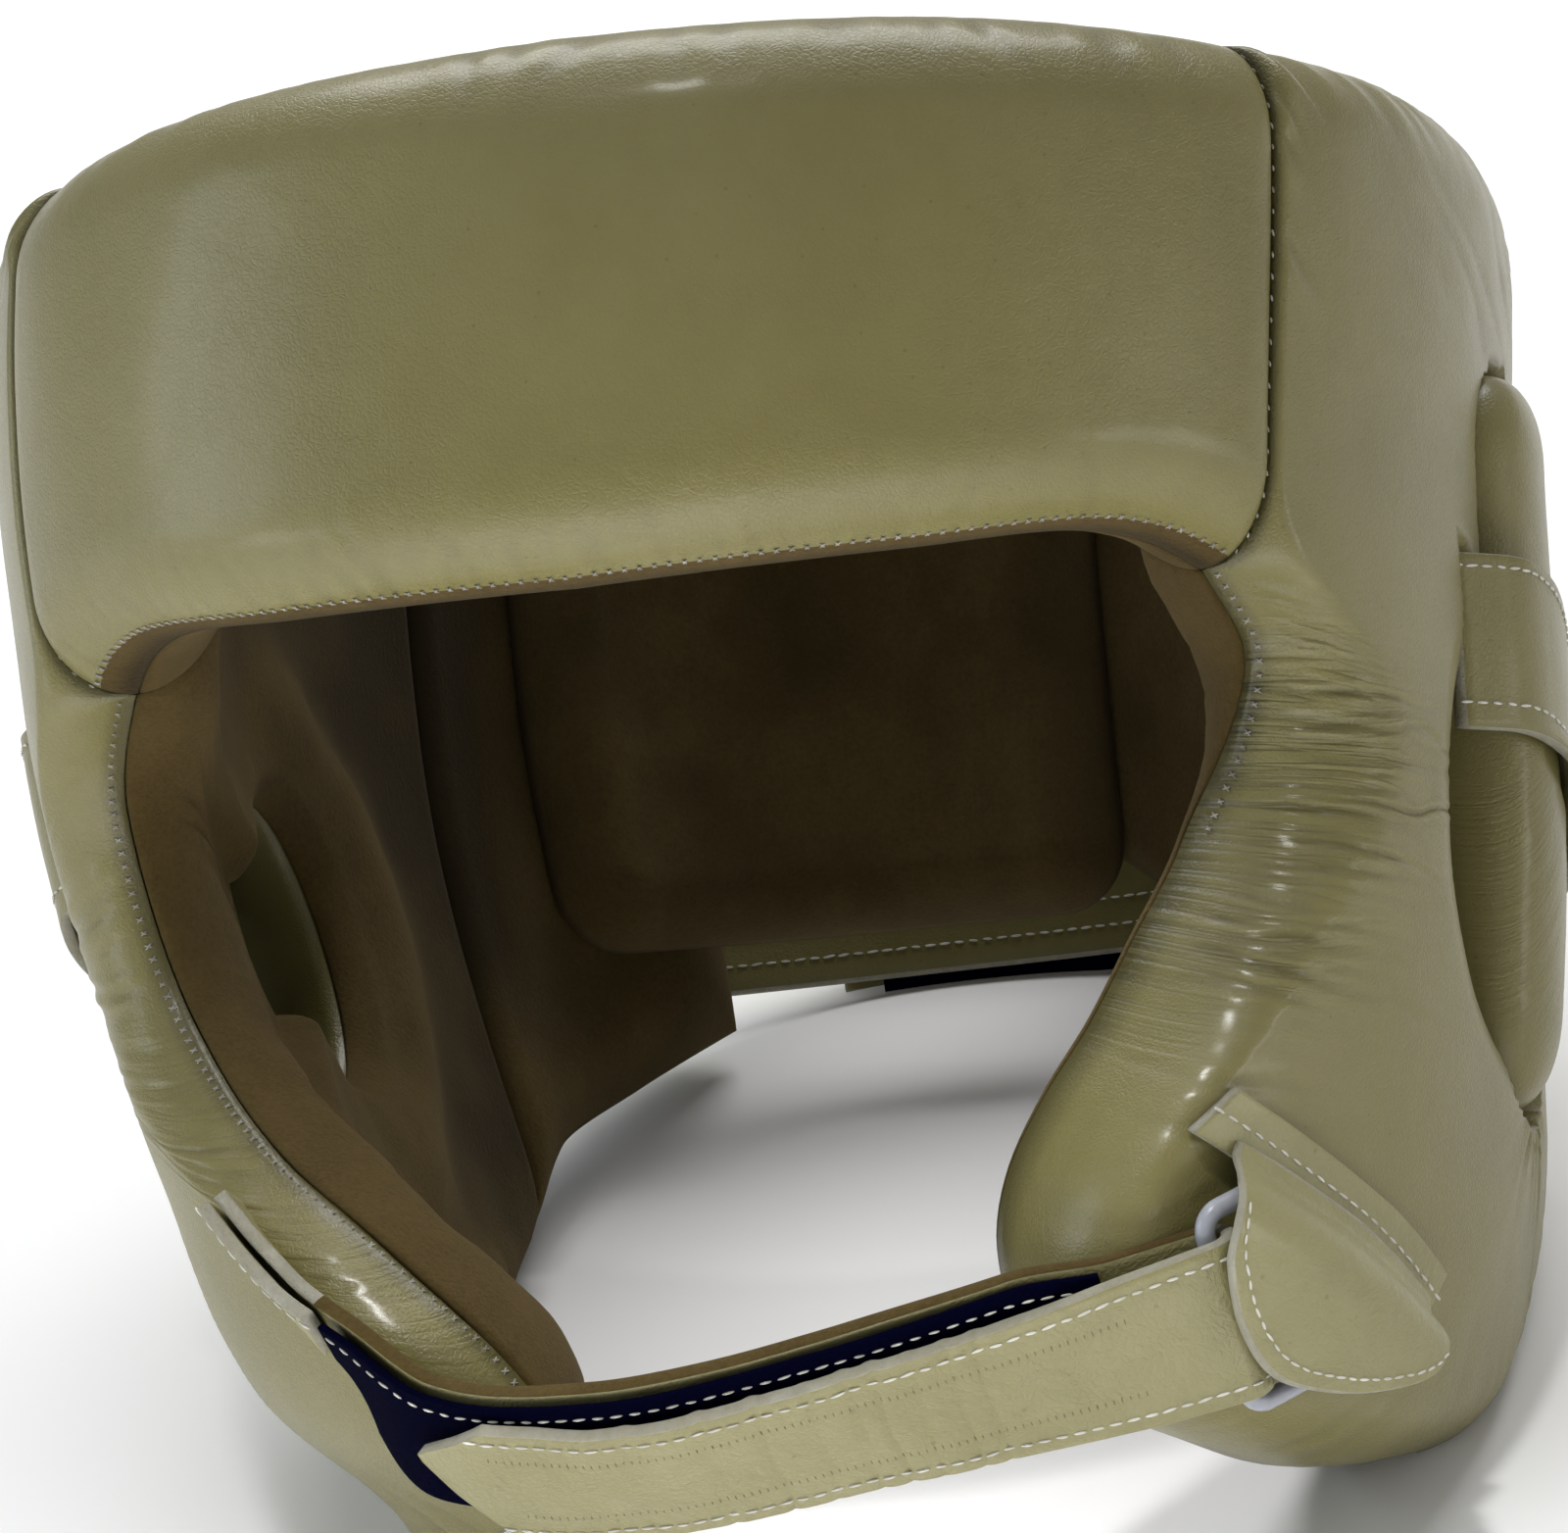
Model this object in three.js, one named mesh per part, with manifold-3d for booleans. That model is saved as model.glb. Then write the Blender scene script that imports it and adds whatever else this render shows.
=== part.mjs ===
// Open-face boxing head guard: padded leather outside, suede inside, open crown and ear holes.
// Millimetres. Shapes are worked out in the head frame: +X to the wearer's left, -Y to the front,
// +Z up, z = 0 just above the brow edge. The finished guard leans back and rests on its lower edge.
import * as THREE from 'three';
import { mergeVertices } from 'three/addons/utils/BufferGeometryUtils.js';
import Module from 'manifold-3d';

const wasm = await Module();
wasm.setup();

// Driving dimensions
const LEAN = THREE.MathUtils.degToRad(30);
const FLOOR_DROP = 116;
const FOOTPRINT_SHIFT = { x: -0.64, y: 19.1 };
const PAD = 28;
const WING = 22;
const SEAM_DEPTH = 14;
const ROLL = 14;
const LINING_ROLL = 12;
const LINING = 2.4;
const LEATHER = 2;
const GAP = 0.3;
const CUT_GAP = 0.35;
const SEAM_INSET = 0.16;
const SQUARE = 2.25;
const SAG = { slope: 0.085, from: 22, soft: 15 };
const CROWN_SHIFT = { slope: 0.075, from: 8, soft: 10 };
const CHEEK_SWELL = { left: 4, right: -3, z: -104, reach: 30 };
const TEMPLE_SEAM = { top: [48.5, 55.5], bottom: [45, -15] };
const TEMPLE_GROOVE = 0.12;
const REAR_SEAM = { top: [127, 42], bottom: [125, -101] };
const REAR_GROOVE = 0.4;
const WING_END = { left: 168, right: 158 };
const WING_GROOVE = 0.25;
const MM_PER_DEGREE = { front: 1.87, cheek: 1.6, tab: 1.72, bar: 1.8, wing: 1.76, backPad: 1.64 };
const FRONT_HEIGHT = 70;
const WING_HEIGHT = 118;
const EAR_HOLE = {
  phi: 85,
  z: -51,
  halfWidth: 12.5,
  halfHeight: 22,
  seamDepth: 4,
  roll: 16,
  liningRoll: 5,
};
const EAR_BAR = { phi: 88, top: 17, bottom: -90, halfWidth: 17, inner: 13, outer: 34.5, endRound: 0.3 };
const BAND_HALF_HEIGHT = 12.5;
const BACK_PAD = { from: 161, to: 222, bottom: -56, top: 34, outer: -1.2, inner: -17, lip: 3, roll: 9 };
const STRAP = { halfWidth: 11.5, inner: 3.1, outer: 2.1, pile: 1.1 };
const RING = {
  phi: 38.4,
  z: -106.3,
  lift: 4.2,
  tilt: 20,
  halfLength: 14.6,
  halfWidth: 5.6,
  corner: 3,
  rod: 1.4,
};

// Suede face, a row for each level: half width, reach to the front and reach to the back
const LEVELS = [
  { z: -140, side: 60, front: 62, back: 62 },
  { z: -100, side: 69, front: 78, back: 84 },
  { z: -50, side: 80, front: 93, back: 98 },
  { z: 0, side: 84, front: 100, back: 102 },
  { z: 50, side: 85, front: 97, back: 99 },
  { z: 95, side: 76, front: 86, back: 90 },
];
// Crown rim and brow edge: height at an angle from the front
const CROWN = [
  { phi: 0, z: 59 },
  { phi: 25, z: 58 },
  { phi: 48.5, z: 55.5 },
  { phi: 70, z: 54 },
  { phi: 90, z: 51.5 },
  { phi: 108, z: 47 },
  { phi: 127, z: 42 },
  { phi: 158, z: 37 },
  { phi: 168, z: 35.5 },
];
const BROW = [
  { phi: 0, z: -11 },
  { phi: 22, z: -10 },
  { phi: 34, z: -9 },
  { phi: 40, z: -11 },
  { phi: 45, z: -15 },
];
// Free edge of a cheek, from the temple corner down the face opening, round the tip and along the bottom
const CHEEK_EDGE = {
  left: [
    { phi: 45, z: -15 },
    { phi: 48.8, z: -25 },
    { phi: 49.4, z: -34 },
    { phi: 48.6, z: -43 },
    { phi: 45.5, z: -53 },
    { phi: 40.2, z: -64 },
    { phi: 35, z: -75.5 },
    { phi: 30, z: -85 },
    { phi: 26, z: -95 },
    { phi: 24.4, z: -105 },
    { phi: 26, z: -116 },
    { phi: 32, z: -126 },
    { phi: 43, z: -133.5 },
    { phi: 58, z: -140 },
    { phi: 74, z: -141.8 },
    { phi: 88, z: -137 },
    { phi: 104, z: -123.5 },
    { phi: 125, z: -101 },
  ],
  right: [
    { phi: 45, z: -15 },
    { phi: 51, z: -25 },
    { phi: 54, z: -36 },
    { phi: 54.5, z: -47 },
    { phi: 52.5, z: -57 },
    { phi: 47.5, z: -67.5 },
    { phi: 39.5, z: -79 },
    { phi: 32, z: -88.5 },
    { phi: 26.5, z: -98.5 },
    { phi: 22.5, z: -107 },
    { phi: 20.8, z: -116 },
    { phi: 23, z: -125 },
    { phi: 32, z: -133 },
    { phi: 48, z: -139 },
    { phi: 70, z: -141 },
    { phi: 88, z: -135.5 },
    { phi: 104, z: -122 },
    { phi: 125, z: -101 },
  ],
};
const WING_BOTTOM = {
  left: [
    { phi: 125, z: -101 },
    { phi: 136, z: -84 },
    { phi: 148, z: -71 },
    { phi: 158, z: -56 },
    { phi: 168, z: -42 },
  ],
  right: [
    { phi: 125, z: -101 },
    { phi: 136, z: -84 },
    { phi: 148, z: -74 },
    { phi: 158, z: -66 },
  ],
};
// Ear band: middle line on the pad, with its depth from the suede face
const BAND_PATH = [
  { phi: 72.5, z: -25, depth: 24.5 },
  { phi: 77, z: -26, depth: 31.5 },
  { phi: 82, z: -28, depth: 33.8 },
  { phi: 88, z: -31.5, depth: 34.3 },
  { phi: 94, z: -36, depth: 33.6 },
  { phi: 100, z: -42, depth: 31.5 },
  { phi: 108, z: -50, depth: 29 },
  { phi: 116, z: -56, depth: 28 },
  { phi: 122, z: -59.5, depth: 26.4 },
];
// Chin strap: middle between its two runs, from the right cheek to the ring, with its width direction
const STRAP_PATH = [
  { x: -70, y: -79.9, z: -92.7, wx: -0.49, wy: 0.78, wz: -0.4 },
  { x: -64.6, y: -81.5, z: -100.4, wx: -0.46, wy: 0.75, wz: -0.48 },
  { x: -58.5, y: -84, z: -107.6, wx: -0.4, wy: 0.7, wz: -0.59 },
  { x: -51.3, y: -87.5, z: -114.7, wx: -0.34, wy: 0.68, wz: -0.65 },
  { x: -38, y: -92.5, z: -126.5, wx: -0.22, wy: 0.72, wz: -0.66 },
  { x: -12, y: -95.5, z: -131.5, wx: -0.04, wy: 0.76, wz: -0.65 },
  { x: 21, y: -95, z: -127.5, wx: 0, wy: 0.74, wz: -0.67 },
  { x: 50, y: -93.5, z: -122.5, wx: 0.05, wy: 0.62, wz: -0.78 },
  { x: 63, y: -91, z: -120, wx: 0.08, wy: 0.5, wz: -0.86 },
];
const RETURN_FROM = 4;
// Flap over the ring: where its fold starts on the left cheek, and the turn of the way it lies
const FLAP = { phi: 36.6, z: -88.8, tilt: 50.7 };
// How far the flap reaches from its fold, and how high its middle stands above the pad
const FLAP_REACH = [
  { along: 0, reach: 2 },
  { along: 1.5, reach: 7 },
  { along: 3.7, reach: 10.9 },
  { along: 10.1, reach: 15.9 },
  { along: 18, reach: 18.2 },
  { along: 26.4, reach: 16.2 },
  { along: 33, reach: 12.7 },
  { along: 38.7, reach: 7.5 },
  { along: 40, reach: 2.5 },
];
const FLAP_RISE = [
  { away: 0, h: 4 },
  { away: 2.5, h: 7.6 },
  { away: 5, h: 9.6 },
  { away: 9, h: 10.4 },
  { away: 18.2, h: 10.6 },
];
const SEWN_STRIP = { from: -3.2, to: 43.6, slant: 0.27, near: 1.2, far: 8.6, lift: 0.1 };
const ANCHOR = { share: 0.175, halfWidth: 12.8 };

const MIRROR = { left: 1, right: -1 };

const LEATHER_LOOK = { color: 0x8d8455, roughness: 0.45, metalness: 0 };
const SUEDE_LOOK = { color: 0x6b5a33, roughness: 0.95, metalness: 0 };
const TAPE_LOOK = { color: 0x11132a, roughness: 0.95, metalness: 0 };
const RING_LOOK = { color: 0xa8aaab, roughness: 0.4, metalness: 0 };

// Value of one column at x, by a cubic through the rows; past the ends it stays level
function follow(rows, key, column, x) {
  const last = rows.length - 1;
  const at = Math.min(Math.max(x, rows[0][key]), rows[last][key]);
  let i = 0;
  while (i < last - 1 && at > rows[i + 1][key]) i += 1;
  const slope = (k) => {
    const a = rows[Math.max(k - 1, 0)];
    const b = rows[Math.min(k + 1, last)];
    return (b[column] - a[column]) / (b[key] - a[key]);
  };
  const h = rows[i + 1][key] - rows[i][key];
  const t = (at - rows[i][key]) / h;
  const u = 1 - t;
  return rows[i][column] * u * u * (1 + 2 * t) + rows[i + 1][column] * t * t * (3 - 2 * t)
    + slope(i) * h * t * u * u - slope(i + 1) * h * t * t * u;
}

// Rows with a column "at": the length of the broken line up to each row, as a share of its whole
function measured(rows, columns) {
  let length = 0;
  const lengths = rows.map((row, i) => {
    if (i > 0) length += Math.hypot(...columns.map((c) => row[c] - rows[i - 1][c]));
    return length;
  });
  return rows.map((row, i) => ({ ...row, at: lengths[i] / length }));
}

function suede(phi, z) {
  const angle = THREE.MathUtils.degToRad(phi);
  const across = Math.sin(angle);
  const ahead = Math.cos(angle);
  const side = follow(LEVELS, 'z', 'side', z);
  const reach = follow(LEVELS, 'z', ahead > 0 ? 'front' : 'back', z);
  const r = (Math.abs(across / side) ** SQUARE + Math.abs(ahead / reach) ** SQUARE) ** (-1 / SQUARE);
  const below = -z - SAG.from;
  const sag = SAG.slope * (Math.hypot(below, SAG.soft) + below) / 2;
  const above = z - CROWN_SHIFT.from;
  const shift = CROWN_SHIFT.slope * (Math.hypot(above, CROWN_SHIFT.soft) + above) / 2;
  return new THREE.Vector3(r * across + sag + shift, -r * ahead, z);
}

function outward(phi, z) {
  const step = 0.5;
  const round = suede(phi + step, z).sub(suede(phi - step, z));
  const rise = suede(phi, z + step).sub(suede(phi, z - step));
  return round.cross(rise).normalize();
}

function skin(phi, z, depth) {
  return suede(phi, z).addScaledVector(outward(phi, z), depth);
}

// Leather that would reach below the floor is pressed flat on it
function settle(p) {
  const up = new THREE.Vector3(0, -Math.sin(LEAN), Math.cos(LEAN));
  const height = p.dot(up) + FLOOR_DROP;
  return height < 0 ? p.clone().addScaledVector(up, -height) : p;
}

// Closed body from triangles over a list of points, turned so that its faces point out
function body(points, triangles) {
  const flat = points.map(settle);
  let volume = 0;
  for (const [a, b, c] of triangles) volume += flat[a].dot(flat[b].clone().cross(flat[c]));
  const index = triangles.flatMap(([a, b, c]) => (volume < 0 ? [a, c, b] : [a, b, c]));
  const geometry = new THREE.BufferGeometry();
  geometry.setAttribute('position', new THREE.Float32BufferAttribute(flat.flatMap((p) => p.toArray()), 3));
  geometry.setIndex(index);
  return mergeVertices(geometry, 1e-4);
}

// Wall between two grids of points; a grid that goes round closes on its first row
function wall(outer, inner, round = false) {
  const rows = outer.length;
  const columns = outer[0].length;
  const points = [...outer.flat(), ...inner.flat()];
  const id = (layer, i, j) => layer * rows * columns + (i % rows) * columns + j;
  const triangles = [];
  const quad = (a, b, c, d) => triangles.push([a, b, c], [a, c, d]);
  const spans = round ? rows : rows - 1;
  for (let i = 0; i < spans; i += 1) {
    for (let j = 0; j < columns - 1; j += 1) {
      quad(id(0, i, j), id(0, i + 1, j), id(0, i + 1, j + 1), id(0, i, j + 1));
      quad(id(1, i, j), id(1, i, j + 1), id(1, i + 1, j + 1), id(1, i + 1, j));
    }
    quad(id(0, i, 0), id(1, i, 0), id(1, i + 1, 0), id(0, i + 1, 0));
    const end = columns - 1;
    quad(id(0, i, end), id(0, i + 1, end), id(1, i + 1, end), id(1, i, end));
  }
  if (!round) {
    for (let j = 0; j < columns - 1; j += 1) {
      quad(id(0, 0, j), id(0, 0, j + 1), id(1, 0, j + 1), id(1, 0, j));
      const end = rows - 1;
      quad(id(0, end, j), id(1, end, j), id(1, end, j + 1), id(0, end, j + 1));
    }
  }
  return body(points, triangles);
}

// Closed body lofted through rings of points, with a fan over each end ring, or joined end to start
function loft(rings, joined = false) {
  const sides = rings[0].length;
  const points = rings.flat();
  const triangles = [];
  const id = (i, j) => (i % rings.length) * sides + (j % sides);
  const spans = joined ? rings.length : rings.length - 1;
  for (let i = 0; i < spans; i += 1) {
    for (let j = 0; j < sides; j += 1) {
      triangles.push([id(i, j), id(i + 1, j), id(i + 1, j + 1)], [id(i, j), id(i + 1, j + 1), id(i, j + 1)]);
    }
  }
  if (!joined) {
    for (let j = 1; j < sides - 1; j += 1) {
      triangles.push([id(0, 0), id(0, j), id(0, j + 1)]);
      triangles.push([id(rings.length - 1, 0), id(rings.length - 1, j + 1), id(rings.length - 1, j)]);
    }
  }
  return body(points, triangles);
}

function toManifold(geometry) {
  return new wasm.Manifold(new wasm.Mesh({
    numProp: 3,
    vertProperties: new Float32Array(geometry.attributes.position.array),
    triVerts: new Uint32Array(geometry.index.array),
  }));
}

function fromManifold(solid) {
  const mesh = solid.getMesh();
  const result = new THREE.BufferGeometry();
  result.setAttribute('position', new THREE.Float32BufferAttribute(mesh.vertProperties, 3));
  result.setIndex(Array.from(mesh.triVerts));
  return result;
}

// Pockets for what lies on a piece; thin scraps left beside a pocket are trimmed away
function cut(geometry, tools) {
  let solid = toManifold(geometry);
  for (const tool of tools) solid = solid.subtract(toManifold(tool));
  const [largest] = solid.decompose().sort((a, b) => b.volume() - a.volume());
  return fromManifold(largest);
}

// Section of a padded edge at an angle round its roll: distance from the seam, and depth from the suede face.
// Each layer is a surface: the leather face, the back of the padding, the back and the face of the lining.
function edgeSection(layer, turn, free, thickness, seamDepth, roll, liningRoll) {
  const s = Math.sin(turn);
  const c = Math.cos(turn);
  const share = 1 - free * (1 - s);
  if (layer === 'leather') {
    return { d: free * roll * (1 - c), depth: seamDepth + GAP + (thickness - seamDepth - GAP) * share };
  }
  const offset = { face: 0, back: LINING, padding: LINING + GAP }[layer];
  const across = free * c * seamDepth;
  const deep = share * liningRoll;
  const norm = Math.hypot(across, deep);
  return {
    d: free * liningRoll * (1 - c) + offset * across / norm,
    depth: seamDepth * (1 - share) + offset * deep / norm + (layer === 'padding' ? GAP * free * c : 0),
  };
}

const TURNS = [0, 45, 90].map(THREE.MathUtils.degToRad);

// Distance from a rolled edge, and share of the full depth there, for each line of a panel's grid
function panelLines(layer, length, startFree, endFree, thickness, inner) {
  const near = (free) => TURNS.map((turn) => {
    const at = edgeSection(layer, turn, free, thickness, SEAM_DEPTH, ROLL, LINING_ROLL);
    const d = free === 1 ? at.d : (1 - Math.cos(turn)) * ROLL;
    return { d, share: 1 - free * (1 - Math.sin(turn)), turn, free };
  });
  const start = near(startFree);
  const end = near(endFree).reverse().map((line) => ({ ...line, d: length - line.d }));
  const middle = [];
  for (let k = 1; k <= inner; k += 1) {
    const t = k / (inner + 1);
    middle.push({ d: start.at(-1).d * (1 - t) + end[0].d * t, share: 1, turn: Math.PI / 2, free: 0 });
  }
  return [...start, ...middle, ...end];
}

// Depth of one layer where two rolled edges meet, from the shares of both
function layerDepth(layer, thickness, u, v) {
  const share = u.share * v.share;
  if (layer === 'leather') return SEAM_DEPTH + GAP + (thickness - SEAM_DEPTH - GAP) * share;
  const offset = { face: 0, back: LINING, padding: LINING + GAP }[layer];
  const rolled = Math.max(u.free * Math.cos(u.turn), v.free * Math.cos(v.turn));
  const pad = layer === 'padding' ? GAP * rolled : 0;
  return SEAM_DEPTH * (1 - share) + offset * Math.sqrt(Math.max(1 - rolled * rolled, 0)) + pad;
}

// Four-sided panel: its two ends are straight between the angles given, its bottom and top follow tables
function panelGrid(layer, panel) {
  const { free, thickness } = panel;
  const across = panelLines(layer, panel.width, free.start, free.end, thickness, panel.columns);
  const along = panelLines(layer, panel.height, free.bottom, free.top, thickness, panel.rows);
  return across.map((u) => along.map((v) => {
    const s = u.d / panel.width;
    const t = v.d / panel.height;
    const phiAt = (end) => end.bottom * (1 - t) + end.top * t;
    const phi = phiAt(panel.start) * (1 - s) + phiAt(panel.end) * s;
    const z = panel.bottomZ(phi) * (1 - t) + panel.topZ(phi) * t;
    return skin(panel.mirror * phi, z, layerDepth(layer, thickness, u, v));
  }));
}

function panelPieces(panel) {
  return {
    pad: wall(panelGrid('leather', panel), panelGrid('padding', panel)),
    lining: wall(panelGrid('back', panel), panelGrid('face', panel)),
  };
}

const crownZ = (phi) => follow(CROWN, 'phi', 'z', Math.abs(phi));
const browZ = (phi) => follow(BROW, 'phi', 'z', Math.abs(phi));

function frontPanel() {
  const end = (sign) => ({
    top: sign * (TEMPLE_SEAM.top[0] - SEAM_INSET),
    bottom: sign * (TEMPLE_SEAM.bottom[0] - SEAM_INSET),
  });
  return panelPieces({
    start: end(-1),
    end: end(1),
    width: 2 * TEMPLE_SEAM.bottom[0] * MM_PER_DEGREE.front,
    height: FRONT_HEIGHT,
    thickness: PAD,
    free: { start: TEMPLE_GROOVE, end: TEMPLE_GROOVE, bottom: 1, top: 1 },
    columns: 9,
    rows: 2,
    mirror: 1,
    bottomZ: browZ,
    topZ: crownZ,
  });
}

function rearWing(side) {
  return panelPieces({
    start: { top: REAR_SEAM.top[0] + SEAM_INSET, bottom: REAR_SEAM.bottom[0] + SEAM_INSET },
    end: { top: WING_END[side], bottom: WING_END[side] },
    width: (WING_END[side] - REAR_SEAM.bottom[0]) * MM_PER_DEGREE.wing,
    height: WING_HEIGHT,
    thickness: WING,
    free: { start: WING_GROOVE, end: 1, bottom: 1, top: 1 },
    columns: 2,
    rows: 3,
    mirror: MIRROR[side],
    bottomZ: (phi) => follow(WING_BOTTOM[side], 'phi', 'z', phi),
    topZ: crownZ,
  });
}

// Closed outline of a cheek pad: free edge, rear seam, crown rim and temple seam.
// free is 1 where the edge rolls in to its seam and small where the pad butts its neighbour.
function cheekOutline(side) {
  const outline = [];
  const edge = measured(CHEEK_EDGE[side], ['phi', 'z']);
  const edgeSteps = 19;
  for (let i = 0; i < edgeSteps; i += 1) {
    const at = i / edgeSteps;
    outline.push({ phi: follow(edge, 'at', 'phi', at), z: follow(edge, 'at', 'z', at), free: 1 });
  }
  const seam = (from, to, groove, inset, shares) => {
    for (const t of shares) {
      const end = 1 - Math.min(Math.min(t, 1 - t) * Math.abs(to[1] - from[1]) / ROLL, 1);
      const free = 1 - (1 - groove) * Math.sqrt(1 - end * end);
      const phi = from[0] * (1 - t) + to[0] * t + inset;
      outline.push({ phi, z: from[1] * (1 - t) + to[1] * t, free });
    }
  };
  seam(REAR_SEAM.bottom, REAR_SEAM.top, REAR_GROOVE, -SEAM_INSET, [0, 0.1, 0.3, 0.5, 0.7, 0.9]);
  const crownSteps = 6;
  for (let i = 0; i < crownSteps; i += 1) {
    const t = i / crownSteps;
    const phi = REAR_SEAM.top[0] * (1 - t) + TEMPLE_SEAM.top[0] * t;
    outline.push({ phi, z: crownZ(phi), free: 1 });
  }
  seam(TEMPLE_SEAM.top, TEMPLE_SEAM.bottom, TEMPLE_GROOVE, SEAM_INSET, [0, 0.07, 0.2, 0.4, 0.6, 0.8, 0.93]);
  return outline;
}

function cheekSwell(side, z) {
  return CHEEK_SWELL[side] * Math.exp(-(((z - CHEEK_SWELL.z) / CHEEK_SWELL.reach) ** 2));
}

// Grid of one layer of a cheek pad: lines run from the outline in to the ear hole
function cheekGrid(layer, side) {
  return cheekOutline(side).map((rim) => {
    const angle = Math.atan2(
      (rim.z - EAR_HOLE.z) / EAR_HOLE.halfHeight,
      (rim.phi - EAR_HOLE.phi) / EAR_HOLE.halfWidth,
    );
    const hole = {
      phi: EAR_HOLE.phi + EAR_HOLE.halfWidth * Math.cos(angle),
      z: EAR_HOLE.z + EAR_HOLE.halfHeight * Math.sin(angle),
    };
    const length = Math.hypot((rim.phi - hole.phi) * MM_PER_DEGREE.cheek, rim.z - hole.z);
    const atRim = TURNS.map((turn) => edgeSection(layer, turn, rim.free, PAD, SEAM_DEPTH, ROLL, LINING_ROLL));
    const atHole = TURNS.map((turn) => {
      const at = edgeSection(layer, turn, 1, PAD, EAR_HOLE.seamDepth, EAR_HOLE.roll, EAR_HOLE.liningRoll);
      return { d: length - at.d, depth: at.depth };
    }).reverse();
    const lines = [...atRim];
    const middleLines = 2;
    for (let k = 1; k <= middleLines; k += 1) {
      const t = k / (middleLines + 1);
      lines.push({
        d: atRim.at(-1).d * (1 - t) + atHole[0].d * t,
        depth: atRim.at(-1).depth * (1 - t) + atHole[0].depth * t,
      });
    }
    lines.push(...atHole);
    return lines.map(({ d, depth }) => {
      const t = d / length;
      const z = rim.z * (1 - t) + hole.z * t;
      const proud = Math.max(depth - SEAM_DEPTH - GAP, 0) / (PAD - SEAM_DEPTH - GAP);
      const swell = layer === 'leather' ? proud * cheekSwell(side, z) : 0;
      return skin(MIRROR[side] * (rim.phi * (1 - t) + hole.phi * t), z, depth + swell);
    });
  });
}

function cheekPieces(side) {
  return {
    pad: wall(cheekGrid('leather', side), cheekGrid('padding', side), true),
    lining: wall(cheekGrid('back', side), cheekGrid('face', side), true),
  };
}

// Upright padded roll over the ear hole
function earBar(mirror, grow = 0) {
  const sides = 12;
  const middle = (EAR_BAR.inner + EAR_BAR.outer) / 2;
  const halfDepth = (EAR_BAR.outer - EAR_BAR.inner) / 2 + grow;
  const halfLength = (EAR_BAR.top - EAR_BAR.bottom) / 2 + grow;
  const centre = (EAR_BAR.top + EAR_BAR.bottom) / 2;
  const shares = [-1, -0.97, -0.88, -0.7, -0.35, 0, 0.35, 0.7, 0.88, 0.97, 1];
  return loft(shares.map((t) => {
    const past = Math.max(Math.abs(t) - (1 - EAR_BAR.endRound), 0) / EAR_BAR.endRound;
    const full = 0.35 + 0.65 * Math.sqrt(Math.max(1 - past ** 2.5, 0));
    return Array.from({ length: sides }, (_, k) => {
      const a = (k / sides) * 2 * Math.PI;
      const round = (v) => Math.sign(v) * Math.abs(v) ** 0.75;
      const across = (EAR_BAR.halfWidth + grow) * full * round(Math.cos(a));
      const depth = middle + halfDepth * full * round(Math.sin(a));
      return skin(mirror * (EAR_BAR.phi + across / MM_PER_DEGREE.bar), centre + t * halfLength, depth);
    });
  }));
}

function earBand(mirror, grow = 0) {
  const path = measured(BAND_PATH, ['phi', 'z']);
  const steps = 14;
  const half = BAND_HALF_HEIGHT + grow;
  const rowAt = (at) => ['phi', 'z', 'depth'].map((column) => follow(path, 'at', column, at));
  const rows = Array.from({ length: steps + 1 }, (_, i) => rowAt(i / steps));
  const lengthened = (end, next) => end.map((value, k) => value + (value - next[k]) * grow * 0.5);
  rows[0] = lengthened(rows[0], rows[1]);
  rows[steps] = lengthened(rows[steps], rows[steps - 1]);
  const layer = (lift) => rows.map(([phi, z, depth]) => (
    [-1, 0, 1].map((side) => skin(mirror * phi, z + side * half, depth + lift))
  ));
  return wall(layer(LEATHER + 2 * grow), layer(-2 * grow));
}

function backPad() {
  const columns = [0, 0.03, 0.13, 0.32, 0.5, 0.68, 0.87, 0.97, 1];
  const rows = [0, 0.03, 0.11, 0.3, 0.5, 0.7, 0.89, 0.97, 1];
  const width = (BACK_PAD.to - BACK_PAD.from) * MM_PER_DEGREE.backPad;
  const height = BACK_PAD.top - BACK_PAD.bottom;
  const share = (t, length) => {
    const u = 1 - Math.min((Math.min(t, 1 - t) * length) / BACK_PAD.roll, 1);
    return Math.sqrt(1 - u * u);
  };
  const layer = (depthAt) => columns.map((s) => rows.map((t) => skin(
    BACK_PAD.from * (1 - s) + BACK_PAD.to * s,
    BACK_PAD.bottom * (1 - t) + BACK_PAD.top * t,
    depthAt(share(s, width) * share(t, height)),
  )));
  const thick = BACK_PAD.outer - BACK_PAD.inner - BACK_PAD.lip;
  return wall(layer(() => BACK_PAD.outer), layer((full) => BACK_PAD.outer - BACK_PAD.lip - thick * full));
}

// Flat band round the back, from one angle to another
function backBand({ from, to, bottom, top, depth, thickness }, grow = 0) {
  const steps = 12;
  const layer = (at) => Array.from({ length: steps + 1 }, (_, i) => {
    const phi = from - grow + ((to - from + 2 * grow) * i) / steps;
    const low = bottom - grow;
    const rise = top - bottom + 2 * grow;
    return [0, 0.25, 0.5, 0.75, 1].map((t) => skin(phi, low + rise * t, at));
  });
  return wall(layer(depth + thickness + grow), layer(depth - grow));
}

const BACK_STRAP = { from: 144, to: 218, bottom: -57.5, top: -10, depth: WING + GAP, thickness: LEATHER };
const HOOK_TAPE = 1.4;
const BACK_HOOK = {
  ...BACK_STRAP,
  to: 189,
  bottom: -59.8,
  depth: BACK_STRAP.depth + LEATHER + 2 * GAP,
  thickness: HOOK_TAPE,
};
const BACK_FLAP = {
  ...BACK_STRAP,
  from: 134,
  to: 192,
  bottom: -58.3,
  depth: BACK_HOOK.depth + HOOK_TAPE + 2 * GAP,
};

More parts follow.
